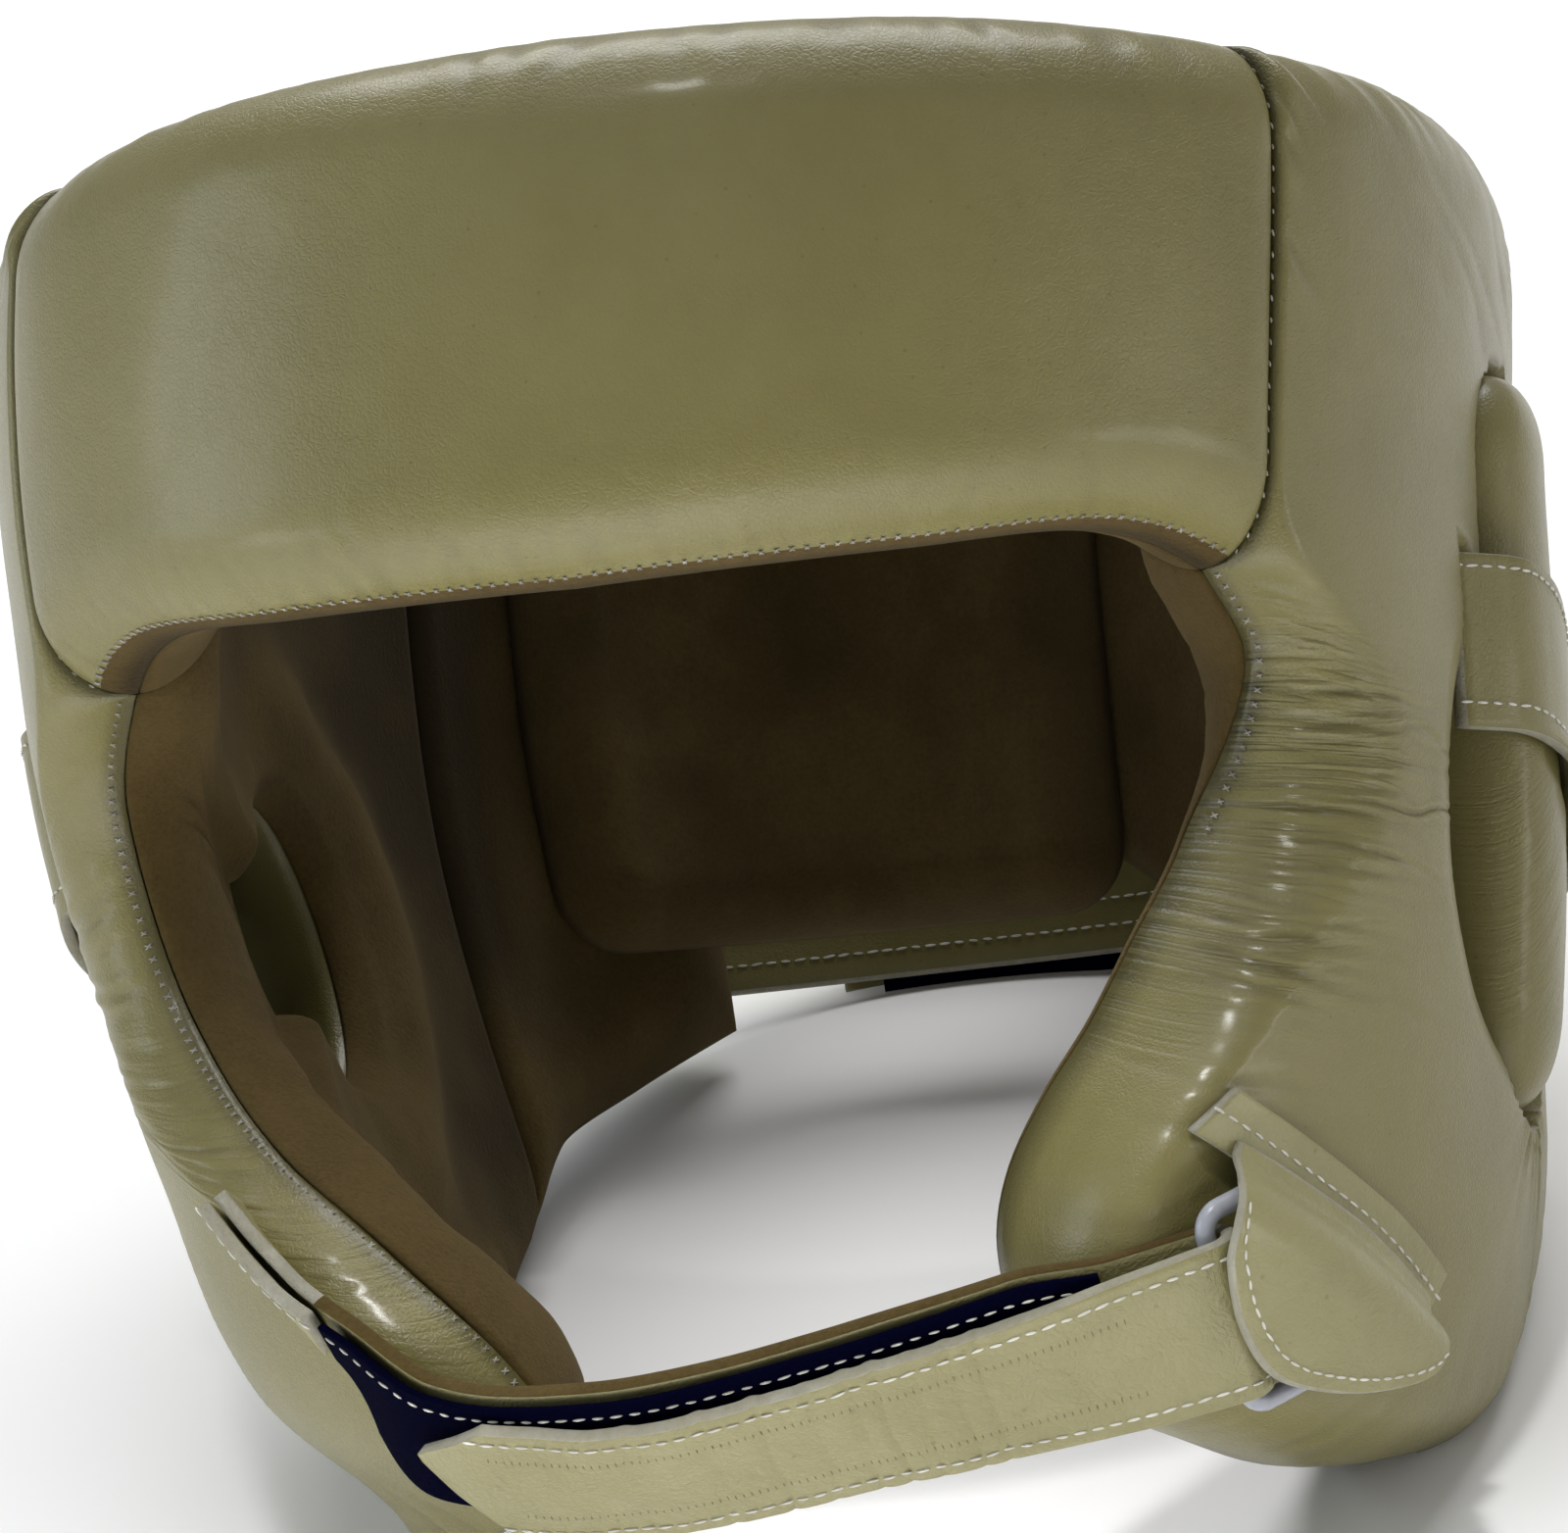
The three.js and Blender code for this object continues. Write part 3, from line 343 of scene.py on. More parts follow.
def make_piece(name, body, materials, node=None, crease_shade=None, marked=None, lay=None):
    """Mesh object from points in the head frame; marked faces take the second material.

    crease is painted shade for the first points, darker in hollows, creases, recesses and beside seams.
    lay is their millimetres along and across fine folds, and the strength of these.
    """
    points, faces = body
    mesh = bpy.data.meshes.new(name)
    polygons = [tuple(dict.fromkeys(f)) for f in faces.tolist()]
    mesh.from_pydata(world(settle(points)).tolist(), [], polygons)
    for material in materials:
        mesh.materials.append(material)
    if marked is not None:
        mesh.polygons.foreach_set("material_index", np.asarray(marked, np.int32))
    if crease_shade is not None:
        values = np.zeros(len(points), np.float32)
        values[: crease_shade.size] = crease_shade.ravel()
        mesh.attributes.new("crease_shade", "FLOAT", "POINT").data.foreach_set("value", values)
    if lay is not None:
        values = np.zeros((len(points), 3), np.float32)
        values[: lay[..., 0].size] = lay.reshape(-1, 3)
        mesh.attributes.new("lay", "FLOAT_VECTOR", "POINT").data.foreach_set("vector", values.ravel())
    tidy_mesh(mesh)
    piece = bpy.data.objects.new(name, mesh)
    bpy.context.scene.collection.objects.link(piece)
    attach(piece, "root")
    if node:
        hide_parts(node)
    return piece


def tidy_mesh(mesh):
    """Merge doubled points, point the faces outwards and shade them smoothly."""
    bm = bmesh.new()
    bm.from_mesh(mesh)
    bmesh.ops.remove_doubles(bm, verts=bm.verts, dist=1e-6)
    bmesh.ops.dissolve_degenerate(bm, edges=bm.edges, dist=1e-7)
    bmesh.ops.recalc_face_normals(bm, faces=bm.faces)
    for face in bm.faces:
        face.smooth = True
    bm.to_mesh(mesh)
    bm.free()


# Shader groups that several finishes share
def add(tree, kind, inputs=None, **settings):
    """New node; inputs are values or sockets by name."""
    made = tree.nodes.new(kind)
    for key, value in settings.items():
        setattr(made, key, value)
    for key, value in (inputs or {}).items():
        if isinstance(value, bpy.types.NodeSocket):
            tree.links.new(value, made.inputs[key])
        else:
            made.inputs[key].default_value = value
    return made


def maths(tree, operation, a, b=0.0, clamp=False):
    made = add(tree, "ShaderNodeMath", {0: a, 1: b}, operation=operation, use_clamp=clamp)
    return made.outputs[0]


def times(tree, a, b, clamp=False):
    return maths(tree, "MULTIPLY", a, b, clamp)


def plus(tree, a, b, clamp=False):
    return maths(tree, "ADD", a, b, clamp)


def minus(tree, a, b):
    return maths(tree, "SUBTRACT", a, b)


def noise(tree, place, scale, detail, roughness=0.5, distortion=0.0):
    inputs = dict(Vector=place, Scale=scale, Detail=detail, Roughness=roughness, Distortion=distortion)
    return add(tree, "ShaderNodeTexNoise", inputs).outputs


def object_place(tree):
    return add(tree, "ShaderNodeTexCoord").outputs["Object"]


def attribute(tree, name, output):
    return add(tree, "ShaderNodeAttribute", attribute_name=name).outputs[output]


def mixed(tree, factor, a, b):
    """Colour between a and b, each a socket or a plain colour."""
    made = add(tree, "ShaderNodeMix", {"Factor": factor}, data_type="RGBA")
    for key, value in ((6, a), (7, b)):
        if isinstance(value, bpy.types.NodeSocket):
            tree.links.new(value, made.inputs[key])
        else:
            made.inputs[key].default_value = (*value, 1)
    return made.outputs[2]


def shader_group(name, inputs, outputs):
    """New node group with its input and output sockets."""
    tree = bpy.data.node_groups.new(name, "ShaderNodeTree")
    for socket, value in inputs.items():
        made = tree.interface.new_socket(socket, in_out="INPUT", socket_type="NodeSocketFloat")
        made.default_value = value
    for socket in outputs:
        tree.interface.new_socket(socket, in_out="OUTPUT", socket_type="NodeSocketFloat")
    return tree, tree.nodes.new("NodeGroupInput").outputs, tree.nodes.new("NodeGroupOutput").inputs


def per_size(tree, size):
    return maths(tree, "DIVIDE", 1.0, size)


def mottle_group():
    """Slow patches of tone, two sizes at once."""
    tree, given, out = shader_group("mottle", {"Patch Size": 0.03, "Contrast": 1.0}, ["Value"])
    place, scale = object_place(tree), per_size(tree, given["Patch Size"])
    broad = noise(tree, place, scale, 3.0, 0.55)[0]
    fine = noise(tree, place, times(tree, scale, 7.0), 4.0, 0.6)[0]
    both = plus(tree, times(tree, broad, 0.7), times(tree, fine, 0.3))
    centred = times(tree, minus(tree, both, 0.5), given["Contrast"])
    tree.links.new(plus(tree, centred, 0.5, clamp=True), out["Value"])
    return tree


def grain_group():
    """Leather grain: small pebbles with valleys between them, broken by fine noise, and scattered pores."""
    sizes = {"Pebble Size": 0.0009, "Wrinkle Size": 0.006}
    tree, given, out = shader_group("grain", sizes, ["Height", "Pores", "Wrinkles"])
    place = object_place(tree)
    scale, wide = per_size(tree, given["Pebble Size"]), per_size(tree, given["Wrinkle Size"])
    bend = noise(tree, place, wide, 2.0)[1]
    bent = add(tree, "ShaderNodeMix", {"Factor": 0.0015, 4: place, 5: bend}, data_type="VECTOR").outputs[1]
    cells = add(tree, "ShaderNodeTexVoronoi", {"Vector": bent, "Scale": scale}, feature="DISTANCE_TO_EDGE")
    near_edge = {"Value": cells.outputs[0], "From Max": 0.22}
    valleys = add(tree, "ShaderNodeMapRange", near_edge, interpolation_type="SMOOTHSTEP").outputs[0]
    fuzz = noise(tree, place, times(tree, scale, 2.3), 3.0)[0]
    tree.links.new(plus(tree, times(tree, valleys, 0.6), times(tree, fuzz, 0.4)), out["Height"])
    scattered = {"Vector": place, "Scale": times(tree, scale, 0.23)}
    spots = add(tree, "ShaderNodeTexVoronoi", scattered).outputs[0]
    pores = add(tree, "ShaderNodeMapRange", {
        "Value": spots, "From Min": 0.05, "From Max": 0.09, "To Min": 1.0, "To Max": 0.0,
    })
    tree.links.new(pores.outputs[0], out["Pores"])
    folds = noise(tree, bent, wide, 5.0, 0.6, 0.6)[0]
    ridge = maths(tree, "ABSOLUTE", minus(tree, folds, 0.5))
    tree.links.new(times(tree, ridge, 4.0, clamp=True), out["Wrinkles"])
    return tree


def nap_group():
    """Short fibres: a fine fuzz with streaks where the nap lies another way."""
    sizes = {"Fibre Size": 0.0005, "Streak Size": 0.012}
    tree, given, out = shader_group("nap", sizes, ["Height", "Streaks"])
    place = object_place(tree)
    fuzz = noise(tree, place, per_size(tree, given["Fibre Size"]), 5.0, 0.75)[0]
    tree.links.new(fuzz, out["Height"])
    long_way = add(tree, "ShaderNodeMapping", {"Vector": place, "Scale": (1.0, 0.7, 0.35)}).outputs[0]
    streaks = noise(tree, long_way, per_size(tree, given["Streak Size"]), 6.0, 0.7)[0]
    tree.links.new(streaks, out["Streaks"])
    return tree


def folds_group():
    """Fine folds side by side, from "lay": millimetres along and across them, and their strength."""
    tree, given, out = shader_group("folds", {"Spacing": 1.7}, ["Height", "Shade"])
    lay = add(tree, "ShaderNodeSeparateXYZ", {0: attribute(tree, "lay", "Vector")}).outputs
    across = maths(tree, "DIVIDE", lay[1], given["Spacing"])
    place = add(tree, "ShaderNodeCombineXYZ", {"X": times(tree, lay[0], 0.075), "Y": across}).outputs[0]
    wavy = noise(tree, place, 1.0, 2.0, distortion=0.3)[0]
    apart = maths(tree, "ABSOLUTE", minus(tree, wavy, 0.5))
    valley = minus(tree, 1.0, times(tree, apart, 8.0, clamp=True))
    shade = times(tree, maths(tree, "POWER", valley, 1.6), lay[2])
    tree.links.new(shade, out["Shade"])
    tree.links.new(times(tree, shade, -1.0), out["Height"])
    return tree


MOTTLE, GRAIN, NAP, FOLDS = mottle_group(), grain_group(), nap_group(), folds_group()


def placed(tree, group, **values):
    """Outputs of a node group set in a tree; values are its sizes."""
    made = tree.nodes.new("ShaderNodeGroup")
    made.node_tree = group
    for key, value in values.items():
        made.inputs[key.replace("_", " ").title()].default_value = value
    return made.outputs


def finish(name, **sockets):
    """New material with a Principled shader; sockets are its constant values."""
    material = bpy.data.materials.new(name)
    material.use_nodes = True
    tree = material.node_tree
    shader = tree.nodes["Principled BSDF"]
    for key, value in sockets.items():
        shader.inputs[key.replace("_", " ")].default_value = value
    return material, tree, shader.inputs


def bump(tree, shader, height, distance, strength=1.0):
    made = add(tree, "ShaderNodeBump", {"Height": height, "Distance": distance, "Strength": strength})
    tree.links.new(made.outputs[0], shader["Normal"])


LEATHER_ROUGHNESS = 0.47


def leather_finish(name, dark, light, pebble=0.0008, wrinkled=0.4):
    material, tree, shader = finish(name, Specular_IOR_Level=0.34, Coat_Roughness=0.2)
    tone = placed(tree, MOTTLE, patch_size=0.035, contrast=1.5)["Value"]
    grain = placed(tree, GRAIN, pebble_size=pebble, wrinkle_size=0.007)
    folds = placed(tree, FOLDS, spacing=1.7)
    darker = lambda share: [c * share for c in dark]
    colour = mixed(tree, times(tree, grain["Pores"], 0.35), mixed(tree, tone, dark, light), darker(0.45))
    # Painted shade: the crease attribute and the fold valleys pull the colour towards a darker khaki.
    painted_crease_shade = times(tree, attribute(tree, "crease_shade", "Fac"), 0.8)
    deep = plus(tree, painted_crease_shade, times(tree, folds["Shade"], 0.55), clamp=True)
    tree.links.new(mixed(tree, deep, colour, darker(0.4)), shader["Base Color"])
    patchy = times(tree, minus(tree, tone, 0.5), 0.16)
    speckle = times(tree, grain["Height"], -0.1)
    tree.links.new(plus(tree, plus(tree, patchy, speckle), LEATHER_ROUGHNESS), shader["Roughness"])
    tree.links.new(times(tree, tone, 0.4), shader["Coat Weight"])
    height = plus(tree, times(tree, grain["Height"], 0.35), times(tree, grain["Wrinkles"], wrinkled))
    bump(tree, shader, plus(tree, height, times(tree, folds["Height"], 1.6)), 0.00022, 0.8)
    return material


def suede_finish():
    material, tree, shader = finish(
        "brown_suede", Roughness=0.95, Specular_IOR_Level=0.15, Sheen_Weight=0.12, Sheen_Roughness=0.45,
        Sheen_Tint=(0.75, 0.6, 0.38, 1),
    )
    tone = placed(tree, MOTTLE, patch_size=0.03, contrast=1.4)["Value"]
    nap = placed(tree, NAP, fibre_size=0.0007, streak_size=0.009)
    shade = plus(tree, times(tree, tone, 0.45), times(tree, nap["Streaks"], 0.55))
    fibre = times(tree, minus(tree, nap["Height"], 0.5), 0.9)
    colour = mixed(tree, plus(tree, shade, fibre, clamp=True), (0.03, 0.018, 0.0035), (0.115, 0.078, 0.023))
    # Painted shade: the crease attribute darkens the suede towards near black in hollows and deep inside.
    sunk = times(tree, attribute(tree, "crease_shade", "Fac"), 0.85, clamp=True)
    tree.links.new(mixed(tree, sunk, colour, (0.012, 0.008, 0.0025)), shader["Base Color"])
    bump(tree, shader, nap["Height"], 0.0006, 0.8)
    return material


def tape_finish():
    material, tree, shader = finish("navy_tape", Roughness=0.95, Specular_IOR_Level=0.02)
    nap = placed(tree, NAP, fibre_size=0.0009, streak_size=0.004)
    colour = mixed(tree, nap["Height"], (0.0002, 0.0003, 0.004), (0.001, 0.0014, 0.018))
    tree.links.new(colour, shader["Base Color"])
    bump(tree, shader, nap["Height"], 0.0012, 1.0)
    return material


def thread_finish(name, dark, light):
    material, tree, shader = finish(name, Roughness=0.65, Specular_IOR_Level=0.35)
    tone = placed(tree, MOTTLE, patch_size=0.006, contrast=2.2)["Value"]
    tree.links.new(mixed(tree, tone, dark, light), shader["Base Color"])
    nap = placed(tree, NAP, fibre_size=0.0003, streak_size=0.002)
    bump(tree, shader, nap["Height"], 0.0002, 0.8)
    return material


def raw_edge_finish():
    material, tree, shader = finish("raw_leather_edge", Roughness=0.9, Specular_IOR_Level=0.2)
    nap = placed(tree, NAP, fibre_size=0.0006, streak_size=0.0025)
    tone = placed(tree, MOTTLE, patch_size=0.012, contrast=2.0)["Value"]
    pale = mixed(tree, nap["Streaks"], (0.20, 0.185, 0.125), (0.52, 0.51, 0.45))
    tree.links.new(mixed(tree, times(tree, tone, 0.6), pale, (0.30, 0.27, 0.17)), shader["Base Color"])
    bump(tree, shader, nap["Height"], 0.0006, 1.0)
    return material


def ring_finish():
    material, tree, shader = finish("grey_ring", Specular_IOR_Level=0.5)
    tone = placed(tree, MOTTLE, patch_size=0.008, contrast=1.6)["Value"]
    tree.links.new(mixed(tree, tone, (0.22, 0.23, 0.26), (0.34, 0.35, 0.39)), shader["Base Color"])
    tree.links.new(plus(tree, times(tree, tone, 0.2), 0.2), shader["Roughness"])
    return material


KHAKI = leather_finish("khaki_leather", (0.142, 0.124, 0.040), (0.186, 0.165, 0.060))
STRAP_KHAKI = leather_finish(
    "strap_leather", (0.18, 0.162, 0.066), (0.26, 0.238, 0.112), pebble=0.0011, wrinkled=1.3,
)
SUEDE = suede_finish()
TAPE = tape_finish()
PALE_THREAD = thread_finish("pale_thread", (0.42, 0.40, 0.33), (0.74, 0.73, 0.69))
SEAM_THREAD = thread_finish("seam_thread", (0.12, 0.108, 0.075), (0.42, 0.40, 0.36))
# Dark leather colour for the painted shade in the strap's dents.
DENT_SHADE = thread_finish("painted_dent_shade", (0.10, 0.09, 0.035), (0.19, 0.17, 0.075))
RAW_EDGE = raw_edge_finish()
GREY_RING = ring_finish()


# Padded panels
ROLL_STEPS = 15
TURNS = np.radians(np.linspace(0, 90, ROLL_STEPS))
LIP_STEPS = 4
LAYER_OFFSET = dict(face=0, back=LINING, padding=LINING + GAP)


def edge_section(layer, turn, free, thickness, seam_depth, roll, lining_roll):
    """Section of a padded edge round its roll: distance from the seam, and depth from the suede face."""
    s, c = np.sin(turn), np.cos(turn)
    share = 1 - free * (1 - s)
    if layer == "leather":
        return free * roll * (1 - c), seam_depth + GAP + (thickness - seam_depth - GAP) * share
    across, deep = free * c * seam_depth, share * lining_roll
    norm = np.hypot(across, deep)
    d = free * lining_roll * (1 - c) + LAYER_OFFSET[layer] * across / norm
    clear = GAP * free * c if layer == "padding" else 0
    return d, seam_depth * (1 - share) + LAYER_OFFSET[layer] * deep / norm + clear


def panel_lines(layer, length, start_free, end_free, thickness, middle):
    """Distance from one end, share of the full depth and amount of roll, for each line of a grid."""
    def near(free):
        d, _ = edge_section(layer, TURNS, free, thickness, SEAM_DEPTH, ROLL, LINING_ROLL)
        d = d if free == 1 else (1 - np.cos(TURNS)) * SEAM_ROLL
        return d, 1 - free * (1 - np.sin(TURNS)), free * np.cos(TURNS)
    start, end = near(start_free), near(end_free)
    between = np.linspace(start[0][-1], length - end[0][-1], middle + 2)[1:-1]
    d = np.concatenate([start[0], between, (length - end[0])[::-1]])
    share = np.concatenate([start[1], np.ones(middle), end[1][::-1]])
    rolled = np.concatenate([start[2], np.zeros(middle), end[2][::-1]])
    return d, share, rolled


def panel_grid(layer, panel):
    """Angle, height, depth and share of the full depth over a four-sided panel."""
    free, thickness = panel["free"], panel["thickness"]
    across = panel_lines(layer, panel["width"], free["start"], free["end"], thickness, panel["columns"])
    along = panel_lines(layer, panel["height"], free["bottom"], free["top"], thickness, panel["rows"])
    (du, su, ru), (dv, sv, rv) = [[a[:, None] for a in across], [a[None] for a in along]]
    s, t = du / panel["width"], dv / panel["height"]
    end_phi = lambda end: end["bottom"] * (1 - t) + end["top"] * t
    phi = end_phi(panel["start"]) * (1 - s) + end_phi(panel["end"]) * s
    z = panel["bottom_z"](phi) * (1 - t) + panel["top_z"](phi) * t
    share = su * sv
    if layer == "leather":
        depth = SEAM_DEPTH + GAP + (thickness - SEAM_DEPTH - GAP) * share
    else:
        rolled = np.maximum(ru, rv)
        clear = GAP * rolled if layer == "padding" else 0
        depth = SEAM_DEPTH * (1 - share) + LAYER_OFFSET[layer] * np.sqrt(1 - rolled ** 2) + clear
    return dict(phi=phi, z=z, depth=depth, share=share, across=du + 0 * dv, along=dv + 0 * du)


crown_z = lambda phi: follow(CROWN, "phi", "z", np.abs(phi))
brow_z = lambda phi: follow(BROW, "phi", "z", np.abs(phi))


def front_panel():
    end = lambda sign: {key: sign * (TEMPLE_SEAM[key][0] - SEAM_INSET) for key in ("top", "bottom")}
    groove = TEMPLE_SEAM["groove"]
    return dict(
        start=end(-1), end=end(1), width=2 * TEMPLE_SEAM["bottom"][0] * MM_PER_DEGREE["front"],
        height=FRONT_HEIGHT, thickness=PAD, free=dict(start=groove, end=groove, bottom=1, top=1),
        columns=200, rows=46, mirror=1, bottom_z=brow_z, top_z=crown_z,
    )


def wing_panel(side):
    return dict(
        start=dict(top=REAR_SEAM["top"][0] + SEAM_INSET, bottom=REAR_SEAM["bottom"][0] + SEAM_INSET),
        end=dict(top=WING_END[side], bottom=WING_END[side]),
        width=(WING_END[side] - REAR_SEAM["bottom"][0]) * MM_PER_DEGREE["wing"],
        height=WING_HEIGHT, thickness=WING, free=dict(start=WING_GROOVE, end=1, bottom=1, top=1),
        columns=40, rows=60, mirror=MIRROR[side],
        bottom_z=lambda phi: follow(WING_BOTTOM[side], "phi", "z", phi), top_z=crown_z,
    )


def front_relief(g):
    """Faint gathers on the brow lip, puckers at the crown rim and slow unevenness of the padding."""
    along = g["phi"] * MM_PER_DEGREE["front"]
    half = TEMPLE_SEAM["bottom"][0] * MM_PER_DEGREE["front"]
    up, span = g["along"], (-half, half)
    lip = gathers(along, up, span, count=80, depth=0.22, width=0.8, reach=8, seed=11)
    rim = gathers(along, FRONT_HEIGHT - up, span, count=26, depth=0.55, width=2.0, reach=6, seed=12)
    slow = 0.25 * cloud(along / 30, g["z"] / 26, 13) + 0.04 * cloud(along / 9, g["z"] / 8, 14)
    return lip + rim + slow


def wing_relief(g):
    across, up, span = g["across"], g["along"], (0, 70)
    slow = 0.5 * cloud(across / 22, up / 26, 21)
    rim = gathers(across, WING_HEIGHT - up, span, count=12, depth=0.9, width=2.0, reach=12, seed=22)
    return slow + rim + gathers(across, up, span, count=16, depth=0.8, width=1.6, reach=14, seed=23)


def lining_relief(g):
    across, up = g["across"], g["along"]
    return 0.6 * cloud(across / 24, up / 20, 31) + 0.25 * cloud(across / 7, up / 9, 32)


def seam_shade(away):
    """Darkness of the line beside a seam, by the distance from it."""
    return 0.9 * np.exp(-((away / 0.45) ** 2))


def shell(mirror, outer, depth, inner, wrap=False):
    """Closed wall from an outer grid at a depth of its own to an inner grid."""
    return wall(
        skin(mirror * outer["phi"], outer["z"], depth),
        skin(mirror * inner["phi"], inner["z"], inner["depth"]), wrap,
    )


def panel_pieces(name, lining_name, panel, relief):
    """Pad and lining of a four-sided panel; the brow's lip is suede, and the wings' linings get painted
    shade inside.
    """
    brow, mirror = name == "front_pad", panel["mirror"]
    outer, back = panel_grid("leather", panel), panel_grid("padding", panel)
    raised = relief(outer) * smooth(outer["share"], 0, 0.55)
    body = shell(mirror, outer, outer["depth"] + raised, back)
    edges = np.minimum(outer["across"], panel["width"] - outer["across"])
    edges = np.minimum(edges, np.minimum(outer["along"], panel["height"] - outer["along"]))
    # Painted shade on the pad: darker in the relief's hollows and along its seams.
    crease_shade = np.clip(np.clip(-raised * 0.9, 0, 1) + seam_shade(edges), 0, 1)
    lip = np.zeros([count - 1 for count in outer["phi"].shape], bool)
    lip[:, :LIP_STEPS] = brow
    marks = np.concatenate([lip.ravel(), np.zeros(len(body[1]) - lip.size, bool)])
    pad = make_piece(name + "_skin", body, [KHAKI, SUEDE], name, crease_shade=crease_shade, marked=marks)
    half = dict(panel, columns=panel["columns"] // 2, rows=panel["rows"] // 2)
    back, face = panel_grid("back", half), panel_grid("face", half)
    sunk = lining_relief(face) * smooth(face["share"], 0, 0.6)
    body = shell(mirror, face, face["depth"] + np.minimum(sunk, 0.3), back)
    # Painted shade on the lining: darker in its recesses and, on the wings, near the cheek and high up,
    # fading towards the bottom.
    shade = 0 if brow else 0.9 * (1 - smooth(face["across"], 4, 34)) * (1 - smooth(-face["z"], 50, 84))
    crease_shade = np.clip(sunk * 0.5 + shade, 0, 1)
    make_piece(lining_name + "_face", body, [SUEDE], lining_name, crease_shade=crease_shade)


# Cheek pads
EDGE_POINTS, REAR_POINTS, CROWN_POINTS, TEMPLE_POINTS = 440, 80, 100, 80
FINE_EDGE = dict(points=0.62, length=0.33)


def cheek_outline(side):
    """Closed outline: free edge, rear seam, crown rim and temple seam, with how freely each part rolls."""
    edge = measured(CHEEK_EDGE[side], ["phi", "z"])
    share = np.arange(EDGE_POINTS) / EDGE_POINTS
    at = np.interp(share, [0, FINE_EDGE["points"], 1], [0, FINE_EDGE["length"], 1])
    parts = [(follow(edge, "at", "phi", at), follow(edge, "at", "z", at), np.ones(EDGE_POINTS))]

    def seam(start, end, groove, inset, count):
        t = np.arange(count) / count
        end_share = 1 - np.minimum(np.minimum(t, 1 - t) * abs(end[1] - start[1]) / ROLL, 1)
        free = 1 - (1 - groove) * np.sqrt(1 - end_share ** 2)
        return start[0] * (1 - t) + end[0] * t + inset, start[1] * (1 - t) + end[1] * t, free

    parts.append(seam(REAR_SEAM["bottom"], REAR_SEAM["top"], REAR_SEAM["groove"], -SEAM_INSET, REAR_POINTS))
    t = np.arange(CROWN_POINTS) / CROWN_POINTS
    phi = REAR_SEAM["top"][0] * (1 - t) + TEMPLE_SEAM["top"][0] * t
    parts.append((phi, crown_z(phi), np.ones(CROWN_POINTS)))
    top, bottom, groove = (TEMPLE_SEAM[key] for key in ("top", "bottom", "groove"))
    parts.append(seam(top, bottom, groove, SEAM_INSET, TEMPLE_POINTS))
    phi, z, free = (np.concatenate(column)[:, None] for column in zip(*parts))
    step_phi, step_z = (np.diff(v, axis=0, prepend=v[-1:]) for v in (phi, z))
    step = np.hypot(step_phi * MM_PER_DEGREE["cheek"], step_z)
    return dict(phi=phi, z=z, free=free, along=np.cumsum(step, 0))


def rim_seam(side, phi, z):
    """Depth of the seam along a cheek's free edge: rolled in on the left, a little out on the right."""
    low = lambda key: smooth(-z, *RIM_SEAM[key])
    front = 1 - smooth(phi, *RIM_FRONT)
    if side == "left":
        return SEAM_DEPTH - RIM_SEAM["left"] * low("left_z") * front
    out = RIM_SEAM["upper"] * low("upper_z") + RIM_SEAM["lower"] * low("lower_z")
    return SEAM_DEPTH + out * (1 - low("tip_z")) * front


def thinned(side, angle, z):
    """How far out the suede lies where the right cheek is thin, in front of the ear hole."""
    if side == "left":
        return 0 * angle
    ahead = THIN_CHEEK["depth"] * smooth(-np.cos(angle), *THIN_CHEEK["ahead"])
    return ahead * smooth(-z, *THIN_CHEEK["top"]) * (1 - smooth(-z, *THIN_CHEEK["bottom"]))


def cheek_swell(side, z, phi=0):
    """Fuller or flatter padding low on a cheek; the right one is full at its edge alone."""
    near = lambda part: np.exp(-(((z - part["z"]) / part["reach"]) ** 2))
    if side == "left":
        return CHEEK_SWELL["left"] * near(CHEEK_SWELL)
    behind = smooth(phi, *CHEEK_SWELL["behind"])
    kept = 1 - CHEEK_SWELL["rear_loss"] * smooth(phi, *CHEEK_SWELL["rear"])
    swell = CHEEK_SWELL["edge"] * (1 - behind) + CHEEK_SWELL["right"] * kept * behind
    return swell * near(CHEEK_SWELL) + CHEEK_FOOT["right"] * near(CHEEK_FOOT)


def cheek_grid(layer, side, middle):
    """Lines from the outline in to the ear hole."""
    rim, hole, leather = cheek_outline(side), EAR_HOLE, layer == "leather"
    off_phi, off_z = rim["phi"] - hole["phi"], rim["z"] - hole["z"]
    angle = np.arctan2(off_z / hole["half_height"], off_phi / hole["half_width"])
    hole_phi = hole["phi"] + hole["half_width"] * np.cos(angle)
    hole_z = hole["z"] + hole["half_height"] * np.sin(angle)
    length = np.hypot((rim["phi"] - hole_phi) * MM_PER_DEGREE["cheek"], rim["z"] - hole_z)
    turn, loose = TURNS[None], 1 + 0 * rim["free"]
    seam, thin = rim_seam(side, rim["phi"], rim["z"]), thinned(side, angle, rim["z"])
    rim_d, rim_depth = edge_section(layer, turn, rim["free"], PAD, seam, ROLL, LINING_ROLL)
    hole_seam = hole["seam_depth"] + (thin if leather else 0)
    hole_d, hole_depth = edge_section(layer, turn, loose, PAD, hole_seam, hole["roll"], hole["lining_roll"])
    if not leather:
        rim_depth, hole_depth = rim_depth + thin * np.sin(turn), hole_depth + thin
    hole_d, hole_depth = length - hole_d[:, ::-1], hole_depth[:, ::-1]
    t = np.linspace(0, 1, middle + 2)[None, 1:-1]
    bridged = lambda a, b: np.concatenate([a, a[:, -1:] * (1 - t) + b[:, :1] * t, b], 1)
    d, depth = bridged(rim_d, hole_d), bridged(rim_depth, hole_depth)
    s = d / length
    phi, z = rim["phi"] * (1 - s) + hole_phi * s, rim["z"] * (1 - s) + hole_z * s
    proud = np.maximum(depth - SEAM_DEPTH - GAP, 0) / (PAD - SEAM_DEPTH - GAP)
    if leather:
        depth = depth + proud * cheek_swell(side, z, phi)
    return dict(
        phi=phi, z=z, depth=depth, proud=proud, away=d, to_hole=length - d,
        along=rim["along"] + 0 * d, angle=angle + 0 * d,
    )


